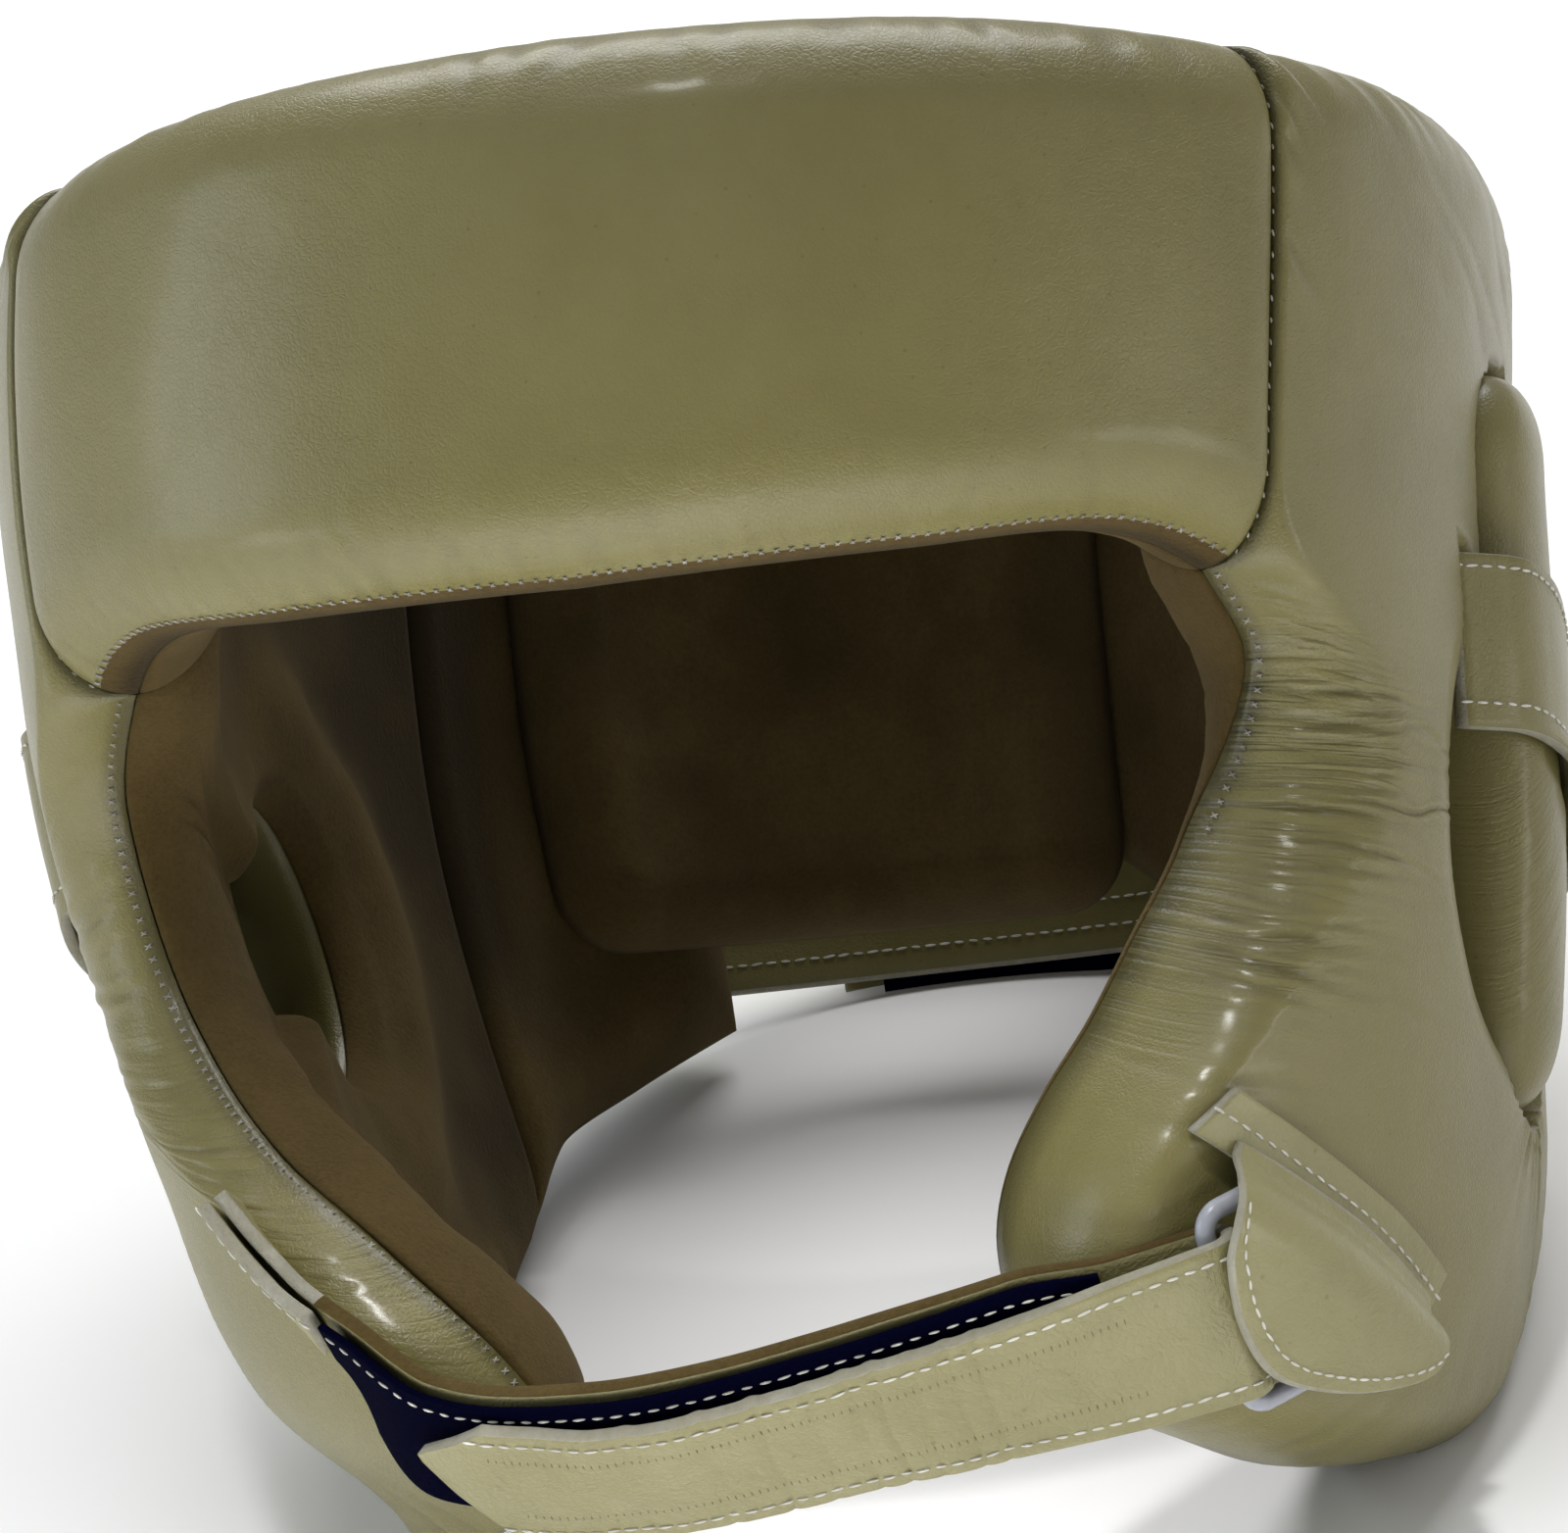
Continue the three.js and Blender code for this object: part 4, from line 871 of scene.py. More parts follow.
# Gathers of each cheek's leather: where along the outline in millimetres, how many, how deep, wide and long
GATHERS = dict(
    left=table(
        "start end count depth width reach slant",
        (2, 34, 24, 0.3, 0.5, 9, 0.05), (80, 150, 22, 0.3, 1.4, 16, 0.3), (150, 340, 26, 0.5, 2.2, 14, 0),
        (420, 590, 34, 0.6, 2.0, 8, 0),
    ),
    right=table(
        "start end count depth width reach slant",
        (2, 60, 14, 0.25, 1.0, 12, 0.05), (30, 105, 24, 0.4, 1.2, 18, -0.1),
        (160, 345, 26, 0.5, 2.2, 14, 0), (420, 590, 34, 0.6, 2.0, 8, 0),
    ),
)
# Creases of the left cheek beside the face opening: heights they start at, how many, angle, and their sizes
OPENING_CREASES = table(
    "top bottom count angle length depth width",
    (-24, -42, 12, -6, 16, 0.22, 0.5), (-30, -68, 28, -12, 26, 0.5, 0.55),
    (-36, -64, 10, -15, 52, 0.55, 0.6), (-60, -84, 12, -14, 34, 0.3, 0.8),
)


OPENING_ROWS = 10


def opening_creases(g):
    """Creases that start on the left cheek's edge, beside the face opening."""
    height = 0
    edge = {name: column[:OPENING_ROWS] for name, column in CHEEK_EDGE["left"].items()}
    for k, pick in enumerate(rows_of(OPENING_CREASES)):
        rng = np.random.default_rng(SEED + 60 + k)
        count = int(pick["count"])
        z = np.linspace(pick["top"], pick["bottom"], count) + rng.normal(0, 0.6, count)
        phi = np.interp(-z, -edge["z"], edge["phi"])
        u = phi * MM_PER_DEGREE["cheek"] + rng.uniform(-1, 2, count)
        height = height + creases(
            g["phi"] * MM_PER_DEGREE["cheek"], g["z"], zip(u, z), pick["angle"] + 0.25 * (z - z.mean()),
            pick["length"], pick["depth"], pick["width"], 63 + 2 * k,
        )
    return height


BAR_DEPTH = dict(
    middle=(EAR_BAR["inner"] + EAR_BAR["outer"]) / 2, half=(EAR_BAR["outer"] - EAR_BAR["inner"]) / 2,
)
BAR_HEIGHT = dict(
    middle=(EAR_BAR["top"] + EAR_BAR["bottom"]) / 2, half=(EAR_BAR["top"] - EAR_BAR["bottom"]) / 2,
)
BAR_SQUARE = 0.75
CLEAR_UNDER = 0.4


def bar_shape(t):
    """Fullness of the ear bar at t, from -1 at its bottom to 1 at its top."""
    past = np.maximum(np.abs(t) - (1 - EAR_BAR["end_round"]), 0) / EAR_BAR["end_round"]
    return 0.35 + 0.65 * np.sqrt(np.maximum(1 - past ** 2.5, 0))


def under_bar(phi, z):
    """Depth of the ear bar's underside where it covers the pad, and how near its outline is."""
    t = (z - BAR_HEIGHT["middle"]) / BAR_HEIGHT["half"]
    full = bar_shape(np.clip(t, -1, 1))
    across = np.abs(phi - EAR_BAR["phi"]) * MM_PER_DEGREE["bar"] / (EAR_BAR["half_width"] * full)
    sine = np.sqrt(np.maximum(1 - np.minimum(across, 1) ** (2 / BAR_SQUARE), 0))
    floor = BAR_DEPTH["middle"] - BAR_DEPTH["half"] * full * sine ** BAR_SQUARE - CLEAR_UNDER
    past_side = (across - 1) * EAR_BAR["half_width"] * full
    return floor, np.maximum(past_side, (np.abs(t) - 1) * BAR_HEIGHT["half"])


def under_band(phi, z):
    """Depth of the ear band's underside, and how near its outline is."""
    order = BAND_PATH["phi"]
    middle = np.interp(phi, order, BAND_PATH["z"])
    floor = np.interp(phi, order, BAND_PATH["depth"]) - CLEAR_UNDER
    past_end = np.maximum(order[0] - phi, phi - order[-1]) * MM_PER_DEGREE["bar"]
    return floor, np.maximum(np.abs(z - middle) - BAND_HALF_HEIGHT, past_end)


def pressed(depth, floor, past, soft):
    """Padding held down under something that lies on it, easing back over a soft margin."""
    return depth - np.maximum(depth - floor, 0) * (1 - smooth(past, 0, soft))


def cheek_relief(g, side):
    """Creases from the edge, wrinkles on the upper side, and gathers round the foot of the ear bar."""
    height = 0.35 * cloud(g["phi"] / 14, g["z"] / 22, 41) + 0.12 * cloud(g["phi"] / 5, g["z"] / 8, 42)
    for k, pick in enumerate(rows_of(GATHERS[side])):
        height = height + gathers(
            g["along"], g["away"], (pick["start"], pick["end"]), int(pick["count"]), pick["depth"],
            pick["width"], pick["reach"], 50 + 3 * k, pick["slant"],
        )
    slanted = g["z"] + (g["phi"] - 80) * 0.9
    upper = smooth(g["z"], 5, 30) * smooth(g["phi"], 58, 80)
    ripple = 1 - np.abs(cloud(slanted / 5.5, (g["phi"] - g["z"]) / 34, 43)) * 2.2
    height = height - 0.3 * upper * np.clip(ripple, 0, 1) ** 2
    foot_x, foot_z = (g["phi"] - EAR_BAR["phi"]) * MM_PER_DEGREE["bar"], g["z"] - EAR_BAR["bottom"] - 4
    far = np.hypot(foot_x, foot_z)
    spread = np.arctan2(foot_z, foot_x) * 20
    rays = gathers(spread, far - 6, (-62, 0), count=17, depth=0.6, width=1.1, reach=17, seed=71)
    return height + rays * smooth(far, 5, 9)


def cheek_lining_relief(g):
    """Padded ring round the ear hole, slow unevenness, and folds along the edge and at the temple."""
    rear = smooth(np.cos(g["angle"]), -0.3, 0.4)
    ring = -4.0 * np.exp(-(((g["to_hole"] - 15) / 9) ** 2)) * smooth(g["away"], 4, 16) * rear
    slow = 0.7 * cloud(g["phi"] / 13, g["z"] / 18, 81) + 0.3 * cloud(g["phi"] / 5, g["z"] / 7, 82)
    temple = dict(span=(-6, 46), count=9, depth=1.5, width=2.0, reach=16, seed=83, slant=0.5)
    edge = dict(span=(46, 340), count=46, depth=0.5, width=1.8, reach=11, seed=84)
    folds = gathers(g["along"], g["away"], **temple) + gathers(g["along"], g["away"], **edge)
    return np.maximum(ring + slow - folds, -0.6 - 6 * rear)


def cheek_lay(g, side):
    """Fine folds beside the face opening: slanting on the left cheek, straight in on the right."""
    if side == "right":
        middle = smooth(g["along"], 40, 60) * (1 - smooth(g["along"], 100, 140))
        strength = 0.3 * np.exp(-((g["away"] / 15) ** 2)) * middle
        return np.stack([g["away"], g["along"] * 0.6, strength], -1)
    u, turn = g["phi"] * MM_PER_DEGREE["cheek"], math.radians(-13)
    near = 0.55 * np.exp(-((g["away"] / 12) ** 2)) + 0.35 * np.exp(-((g["away"] / 34) ** 2))
    middle = smooth(-g["z"], 14, 34) * (1 - smooth(-g["z"], 62, 84))
    bend = 1.5 * cloud(u / 14, g["z"] / 9, 61)
    s = u * math.cos(turn) + g["z"] * math.sin(turn)
    n = g["z"] * math.cos(turn) - u * math.sin(turn) + bend
    return np.stack([s, n, near * middle * (0.75 + 0.35 * cloud(u / 7, g["z"] / 6, 62))], -1)


def cheek_pieces(side):
    """Leather pad and suede lining of one cheek."""
    name, lining, mirror = "cheek_pad_" + side, "cheek_lining_" + side, MIRROR[side]
    outer, back = cheek_grid("leather", side, 44), cheek_grid("padding", side, 4)
    raised = cheek_relief(outer, side) * smooth(outer["proud"], 0, 0.6)
    if side == "left":
        raised = raised + opening_creases(outer) * smooth(outer["proud"], 0, 0.2)
    depth = outer["depth"] + raised
    for cover in (under_bar, under_band):
        floor, past = cover(outer["phi"], outer["z"])
        depth = np.where(outer["to_hole"] > 0.5, pressed(depth, floor, past, 2.5), depth)
    depth = np.maximum(depth, np.minimum(outer["depth"], LINING + 2 * GAP))
    # Painted shade on the pad: darker in crease hollows, beside and under the ear bar, and along the edge
    # seam.
    shade_beside_bar = 1 - smooth(under_bar(outer["phi"], outer["z"])[1], 0, 2)
    crease_shade = np.clip(-raised * 0.5 - 0.02, 0, 1) + 0.5 * shade_beside_bar + seam_shade(outer["away"])
    body, lay = shell(mirror, outer, depth, back, wrap=True), cheek_lay(outer, side)
    pad = make_piece(name + "_skin", body, [KHAKI], name, crease_shade=np.clip(crease_shade, 0, 1), lay=lay)
    grids = cheek_grid("back", side, 4), cheek_grid("face", side, 26)
    back, face = ({key: column[::2] for key, column in grid.items()} for grid in grids)
    sunk = cheek_lining_relief(face) * smooth(face["away"], 0, 9) * smooth(face["to_hole"], 0, 5)
    body = shell(mirror, face, face["depth"] + np.minimum(sunk, 0.8), back, wrap=True)
    # Painted shade on the lining: darker in its recesses and behind the ear hole, fading towards the
    # bottom.
    rear = smooth(np.cos(face["angle"]), -0.4, 0.3) * smooth(face["to_hole"], 8, 22)
    shade = rear * (1 - smooth(-face["z"], 78, 112))
    make_piece(lining + "_face", body, [SUEDE], lining, crease_shade=np.clip(sunk * 0.4 + shade, 0, 1))


# Ear bars and bands
def ear_bar(side):
    sides, rings = 72, 300
    t = np.sin(np.linspace(-np.pi / 2, np.pi / 2, rings))[:, None]
    a = np.linspace(0, 2 * np.pi, sides, endpoint=False)[None]
    z = BAR_HEIGHT["middle"] + t * BAR_HEIGHT["half"]
    full = bar_shape(t)
    rounded = lambda v: np.sign(v) * np.abs(v) ** BAR_SQUARE
    across = EAR_BAR["half_width"] * full * rounded(np.cos(a))
    phi = EAR_BAR["phi"] + across / MM_PER_DEGREE["bar"]
    depth = BAR_DEPTH["middle"] + BAR_DEPTH["half"] * full * rounded(np.sin(a))
    slanted = z - across * 0.75
    broad = np.clip(1 - 2.4 * np.abs(cloud(slanted / 3.1, across / 24 + 5, 93)), 0, 1) ** 1.5
    lower = smooth(-z, 38, 48) * (1 - smooth(-z, 72, 86))
    near = 0.5 + 0.5 * smooth(-across, -6, 10)
    deep = 0.2 * lower * near * broad + 0.2 * cloud(across / 9, z / 11, 92)
    lay = np.stack(np.broadcast_arrays(across * 0.9 + z * 0.4, slanted * 1.3, 0.22 * lower * near), -1)
    deep = deep * smooth(np.sin(a) + 0 * z, -0.5, 0.2)
    floor, past = under_band(phi, z)
    depth = pressed(depth - deep * np.maximum(np.sin(a), 0), floor, past, 3)
    body = loft(skin(MIRROR[side] * phi, z, depth))
    lay = np.concatenate([lay, lay[:, :1]], 1)
    bar = make_piece("ear_bar_%s_skin" % side, body, [KHAKI], "ear_bar_" + side, lay=lay)


EDGE_SECTION = table("out lift", (0.65, 0.88), (1, 0.5), (0.65, 0.12))


def strip(rows, across, lift_low, lift_high, bulge=0.025):
    """Closed strip with rounded edges, and marks on them; in rows(a, lift) a is -1 to 1 across it."""
    a = np.linspace(-1, 1, across)
    beyond, share = 1 + bulge * EDGE_SECTION["out"], EDGE_SECTION["lift"]
    places = np.concatenate([a, beyond, a[::-1], -beyond])
    shares = np.concatenate([np.ones(across), share, np.zeros(across), share[::-1]])
    lifts = lift_low + (lift_high - lift_low) * shares
    ring = np.stack([rows(v, lift) for v, lift in zip(places, lifts)], 1)
    count, sides = ring.shape[:2]
    points = np.concatenate([ring, ring[:, :1]], 1).reshape(-1, 3)
    i = np.arange(across - 1)
    low = 2 * across + 2
    cap = np.concatenate([
        np.stack([i, i + 1, low - i - 1, low - i], -1),
        [[across - 1, across, across + 2, across + 3], [across, across + 1, across + 2, across + 2]],
        [[low, low + 1, low + 3, 0], [low + 1, low + 2, low + 3, low + 3]],
    ])
    last = (count - 1) * (sides + 1)
    faces = np.concatenate([grid_faces(count, sides + 1), cap[:, ::-1], cap + last])
    edge = np.arange(sides) % (across + len(share)) >= across - 1
    marks = np.concatenate([np.tile(edge, count - 1), np.ones(2 * len(cap), bool)])
    return (points, faces), marks


def band_rows(side, steps):
    """Rows along an ear band, with a lower edge that stands off a little."""
    path = measured(BAND_PATH, ["phi", "z"])
    at = np.linspace(0, 1, steps)
    phi, z, depth = (follow(path, "at", c, at) for c in ("phi", "z", "depth"))
    lip = smooth(at, 0.08, 0.3) * (1 - smooth(at, 0.45, 0.8))

    def rows(a, lift):
        wave = 0.5 * cloud(at * 9, a * 1.5 + 7, 101)
        flare = 2.2 * lip * max(-a - 0.72, 0) / 0.28
        z_here = z + a * BAND_HALF_HEIGHT + 0.3 * wave
        return skin(MIRROR[side] * phi, z_here, depth + lift + flare + 0.3 * wave)
    return rows


def ear_band(side):
    body, marks = strip(band_rows(side, 90), 25, 0, LEATHER)
    name = "ear_band_" + side
    make_piece(name + "_strip", body, [KHAKI, RAW_EDGE], name, marked=marks)


# Back pad and the bands behind it
def back_pad():
    """Pillow with round corners inside the rear gap."""
    columns, rows = 90, 84
    half_width = (BACK_PAD["end"] - BACK_PAD["start"]) * MM_PER_DEGREE["back_pad"] / 2
    half_height = (BACK_PAD["top"] - BACK_PAD["bottom"]) / 2
    r = BACK_PAD["corner"]
    eased = lambda count: np.sin(np.linspace(-1, 1, count) * np.pi / 2)
    in_corner = lambda v, half: np.maximum(np.abs(v) - half + r, 0)
    x, y = np.broadcast_arrays(eased(columns)[:, None] * half_width, eased(rows)[None] * half_height)
    p, q = in_corner(x, half_width) / r, in_corner(y, half_height) / r
    x = np.sign(x) * (np.minimum(np.abs(x), half_width - r) + r * p * np.sqrt(1 - q * q / 2))
    y = np.sign(y) * (np.minimum(np.abs(y), half_height - r) + r * q * np.sqrt(1 - p * p / 2))
    far_x, far_y = in_corner(x, half_width), in_corner(y, half_height)
    inside = np.where((far_x > 0) | (far_y > 0), r - np.hypot(far_x, far_y), np.inf)
    inside = np.minimum(inside, np.minimum(half_width - np.abs(x), half_height - np.abs(y)))
    u = 1 - np.clip(inside / BACK_PAD["roll"], 0, 1)
    share = np.sqrt(1 - u * u)
    phi = (BACK_PAD["start"] + BACK_PAD["end"]) / 2 + x / MM_PER_DEGREE["back_pad"]
    z = (BACK_PAD["top"] + BACK_PAD["bottom"]) / 2 + y
    uneven = (0.9 * cloud(x / 24, y / 20, 111) + 0.3 * cloud(x / 8, y / 7, 112)) * share
    thick = BACK_PAD["outer"] - BACK_PAD["inner"] - BACK_PAD["lip"]
    inner = BACK_PAD["outer"] - BACK_PAD["lip"] - thick * share + uneven
    body = wall(skin(phi, z, inner), skin(phi, z, BACK_PAD["outer"] + 0 * x))
    # Painted shade in the pad's hollows.
    crease_shade = np.clip(uneven * 0.5, 0, 1)
    pad = make_piece("back_pad_cover", body, [SUEDE], "back_pad", crease_shade=crease_shade)


HOOK_TAPE = 1.4
BACK_STRAP = dict(start=144, end=218, bottom=-57.5, top=-10, depth=WING + GAP, thickness=LEATHER)
BACK_HOOK = dict(
    BACK_STRAP, end=189, bottom=-59.8, depth=BACK_STRAP["depth"] + LEATHER + 2 * GAP, thickness=HOOK_TAPE,
)
BACK_FLAP = dict(
    BACK_STRAP, start=134, end=192, bottom=-58.3, depth=BACK_HOOK["depth"] + HOOK_TAPE + 2 * GAP,
)


def band_place(band, a, lift, steps=120):
    """Line along a back band, at one place across it."""
    phi = np.linspace(band["start"], band["end"], steps)
    middle, half = (band["top"] + band["bottom"]) / 2, (band["top"] - band["bottom"]) / 2
    return skin(phi, middle + a * half, band["depth"] + lift)


def back_band(name, band, materials):
    body, marks = strip(lambda a, lift: band_place(band, a, lift), 21, 0, band["thickness"])
    make_piece(name + "_strip", body, materials, name, marked=marks if len(materials) > 1 else None)


# Chin strap with its ring and tabs
def ring_frame():
    """Origin of the ring, and directions along its tab, along its bars and out of the pad."""
    origin = skin(RING["phi"], RING["z"], PAD + cheek_swell("left", RING["z"]) + RING["lift"])
    out = outward(RING["phi"], RING["z"])
    around = unit(suede(RING["phi"] + 1, RING["z"]) - suede(RING["phi"] - 1, RING["z"]))
    tilt = math.radians(RING["tilt"])
    along = around * math.cos(tilt) + unit(np.cross(out, around)) * math.sin(tilt)
    return origin, along, unit(np.cross(along, out)), out


RING_ORIGIN, RING_ALONG, RING_BAR, RING_OUT = ring_frame()


def strap_ring():
    corner, steps, sides = RING["corner"], 10, 18
    reach, width = RING["half_length"] - corner, RING["half_width"] - corner
    a = np.radians(np.concatenate([start + np.linspace(0, 90, steps) for start in (0, 90, 180, 270)]))
    corner_x, corner_y = np.repeat([1, -1, -1, 1], steps), np.repeat([1, 1, -1, -1], steps)
    l, w = corner_x * reach + corner * np.cos(a), corner_y * width + corner * np.sin(a)
    centre = RING_ORIGIN + l[:, None] * RING_BAR + w[:, None] * RING_ALONG
    away = np.cos(a)[:, None] * RING_BAR + np.sin(a)[:, None] * RING_ALONG
    b = np.linspace(0, 2 * np.pi, sides, endpoint=False)[None, :, None]
    rings = centre[:, None] + RING["rod"] * (away[:, None] * np.cos(b) + RING_OUT * np.sin(b))
    make_piece("strap_ring_rod", loft(rings, joined=True), [GREY_RING], "strap_ring")


STRAP_ROWS = measured(STRAP_PATH, ["x", "y", "z"])
FREE_END = STRAP_ROWS["at"][RETURN_FROM]
INNER_ROWS, BEND_ROWS, RETURN_ROWS = 150, 15, 200
STRAP_COLUMNS = 19
SUEDE_EDGE_FROM = 24
INNER_RISE = dict(rise=-3.4, start=(0.3, 0.5), loss=0.8, end=(0.9, 1))
FREE_CUT = dict(peak=0.2, upper=0.075, lower=0.09)
PILE = dict(start=3 / 16, end=0.98, rows=130, inset=0.6)
PILE_SEAM = dict(start=3.2 / 16, end=0.965, rows=160, inset=0)
CREASED_AT = (0.53, 0.6, 0.655, 0.7, 0.74, 0.765, 0.8, 0.835, 0.86)


def strap_line(at, lift):
    """Centres, width directions and outward directions of one run of the strap."""
    step = 0.004
    pick = lambda columns, at: np.stack([follow(STRAP_ROWS, "at", c, at) for c in columns.split()], -1)
    centre, width = pick("x y z", at), unit(pick("wx wy wz", at))
    along = unit(pick("x y z", np.clip(at + step, 0, 1)) - pick("x y z", np.clip(at - step, 0, 1)))
    out = unit(np.cross(width, along))
    near = (1 - smooth(at, *ANCHOR["fade"]))[..., None]
    turn = ANCHOR["turn"] * near
    centre = centre - out * (STRAP["half_width"] * np.sin(turn) - ANCHOR["rise"] * near)
    width = unit(width * np.cos(turn) - out * np.sin(turn))
    out = unit(np.cross(width, along))
    return centre + out * np.asarray(lift)[..., None], width, out


def inner_rise(at):
    """How far the inner run stands above the return run."""
    lowered = 1 - INNER_RISE["loss"] * smooth(at, *INNER_RISE["end"])
    return (INNER_RISE["rise"] * smooth(at, *INNER_RISE["start"]) * lowered)[..., None]


def strap_path(a):
    """Whole strap at one place across its width: inner run, turn round the ring and return run."""
    inner_at = np.linspace(0, 1, INNER_ROWS)
    uneven = 0.25 * cloud(inner_at * 9, a * 2 + 3, 121)
    inner, inner_width, _ = strap_line(inner_at, -STRAP["inner"] + uneven)
    inner = inner + inner_width * inner_rise(inner_at)
    radius = RING["rod"] + 2 * GAP + LEATHER / 2
    bar = RING_ORIGIN - RING_ALONG * RING["half_width"]
    to_bar = bar - strap_line(np.array([1.0]), 0)[0][0]
    onward = unit(to_bar - RING_BAR * (to_bar @ RING_BAR))
    out = np.cross(RING_BAR, onward)
    turn = np.radians(np.linspace(-90, 90, BEND_ROWS))[:, None]
    bend = bar + radius * (onward * np.cos(turn) + out * np.sin(turn))
    past = a + FREE_CUT["peak"]
    slant = FREE_CUT["upper"] if past > 0 else -FREE_CUT["lower"]
    back_at = np.linspace(1, FREE_END + slant * past, RETURN_ROWS)
    ripple = 0.35 * cloud(back_at * 16, a * 1.3 + 9, 122) + 0.15 * cloud(back_at * 40, a * 1.5 + 4, 123)
    for k, place in enumerate(CREASED_AT):
        off = (back_at - place - 0.004 * cloud(a * 2 + 5, k * 2.3, 124)) / 0.0055
        ripple = ripple - (0.2 + 0.1 * (k % 3)) * np.exp(-off * off)
    back, back_width, _ = strap_line(back_at, STRAP["outer"] + ripple * smooth(1 - back_at, 0.02, 0.2))
    centre = np.concatenate([inner, bend, back])
    width = np.concatenate([inner_width, np.tile(RING_BAR, (len(turn), 1)), back_width])
    return centre, width


def ribbon_rows(centre, width, a, half_width, lift):
    """Line beside a ribbon's centre line, lifted off it."""
    along = unit(np.gradient(centre, axis=0))
    return centre + width * (a * half_width) + unit(np.cross(along, width)) * np.asarray(lift)


def chin_rows(a, lift):
    return ribbon_rows(*strap_path(np.clip(a, -1, 1)), a, STRAP["half_width"], lift)


def chin_strap():
    body, marks = strip(chin_rows, STRAP_COLUMNS, -LEATHER / 2, LEATHER / 2)
    row = np.arange(len(marks)) // (2 * STRAP_COLUMNS + 2 * len(EDGE_SECTION["out"]))
    marks = np.where(marks & (row < INNER_ROWS) & (row > SUEDE_EDGE_FROM), 2, marks)
    materials = [STRAP_KHAKI, RAW_EDGE, SUEDE]
    make_piece("chin_strap_strip", body, materials, "chin_strap", marked=marks)


PILE_LIFT = (STRAP["outer"] - STRAP["inner"]) / 2


def pile_rows(pile):
    """Rows along the strap's inner run, at the depth of the pile on it."""
    at = np.linspace(pile["start"], pile["end"], pile["rows"])
    centre, width, _ = strap_line(at, PILE_LIFT)
    centre = centre + width * inner_rise(at)
    return lambda a, lift: ribbon_rows(centre, width, a, STRAP["half_width"] - pile["inset"], lift)


def strap_pile():
    body, _ = strip(pile_rows(PILE), 13, -STRAP["pile"] / 2, STRAP["pile"] / 2)
    make_piece("chin_strap_pile_strip", body, [TAPE], "chin_strap_pile")


def on_cheek(s, across, h):
    """Point on the left cheek along the ring's tab: s from the ring, h above the pad."""
    tilt = math.radians(RING["tilt"])
    z = RING["z"] + s * math.sin(tilt) - across * math.cos(tilt)
    phi = RING["phi"] + (s * math.cos(tilt) + across * math.sin(tilt)) / MM_PER_DEGREE["tab"]
    return skin(phi, z, PAD + cheek_swell("left", z) + h)


def on_ring(s, across, h):
    """Point in the ring's own directions."""
    s, across, h = (np.asarray(v, float)[..., None] for v in (s, across, h))
    return RING_ORIGIN + RING_ALONG * s + RING_BAR * across + RING_OUT * (h - RING["lift"])


def on_fold(along, past, h):
    """Point on the left cheek in the flap's directions: along its fold, past it, and h above the pad."""
    tilt = math.radians(FLAP["tilt"])
    phi = FLAP["phi"] + (along * math.sin(tilt) + past * math.cos(tilt)) / MM_PER_DEGREE["tab"]
    z = FLAP["z"] - along * math.cos(tilt) + past * math.sin(tilt)
    return skin(phi, z, PAD + cheek_swell("left", z) + h)


TAB_FOLD = RING["rod"] + 2 * GAP + LEATHER / 2
LOOP_PATH = measured(table(
    "s h half",
    (9.5, 1.4, 6.5), (RING["half_width"], RING["lift"] - TAB_FOLD, 8),
    (RING["half_width"] - TAB_FOLD * 0.8, RING["lift"] - TAB_FOLD * 0.6, 8),
    (RING["half_width"] - TAB_FOLD, RING["lift"], 8),
    (RING["half_width"] - TAB_FOLD * 0.8, RING["lift"] + TAB_FOLD * 0.6, 8),
    (RING["half_width"], RING["lift"] + TAB_FOLD, 8), (8, RING["lift"] + TAB_FOLD, 6.5),
), ["s", "h"])
FLAP_EDGE = measured(FLAP_REACH, ["along", "reach"])


def loop_rows(a, lift, steps=60):
    """Leather folded round the ring's far bar."""
    at = np.linspace(0, 1, steps)
    s, h, half = (follow(LOOP_PATH, "at", c, at) for c in ("s", "h", "half"))
    ds, dh = np.gradient(s), np.gradient(h)
    norm = np.hypot(ds, dh)
    s, h = s - lift * dh / norm, h + lift * ds / norm
    near = smooth(s, 6.5, 9)[:, None]
    return on_cheek(s, a * half, h) * near + on_ring(s, a * half, h) * (1 - near)


FLAP_STEPS = np.linspace(0, 1, 110)


def flap_reach():
    """How far the flap reaches past its fold, at each step along it."""
    return follow(FLAP_EDGE, "at", "reach", FLAP_STEPS)


def flap_rows(a, lift):
    """Flap from its fold, at a = -1, to its rounded edge, at a = 1."""
    along, reach = follow(FLAP_EDGE, "at", "along", FLAP_STEPS), flap_reach()
    away = (reach + FLAP_ROOT) * (a + 1) / 2 - FLAP_ROOT
    wave = 0.35 * cloud(along / 9, away / 8, 131) * smooth(away, 3, 9)
    return on_fold(along, -away, follow(FLAP_RISE, "away", "h", away) + wave + lift)


def ring_tab():
    loop, loop_marks = strip(loop_rows, 15, -LEATHER / 2, LEATHER / 2)
    flap, flap_marks = strip(flap_rows, 31, -LEATHER / 2, LEATHER / 2, bulge=0.06)
    body = np.concatenate([loop[0], flap[0]]), np.concatenate([loop[1], flap[1] + len(loop[0])])
    marks = np.concatenate([loop_marks, flap_marks])
    make_piece("ring_tab_strip", body, [STRAP_KHAKI, RAW_EDGE], "ring_tab", marked=marks)


def sewn_rows(a, lift, steps=90):
    """Strip sewn to the cheek beside the flap's fold."""
    near, far = SEWN_STRIP["near"], SEWN_STRIP["far"]
    past = near + (far - near) * (a + 1) / 2
    start = SEWN_STRIP["start"] - (far - past) * SEWN_STRIP["slant"]
    return on_fold(np.linspace(start, SEWN_STRIP["end"], steps), past, SEWN_STRIP["lift"] + lift)


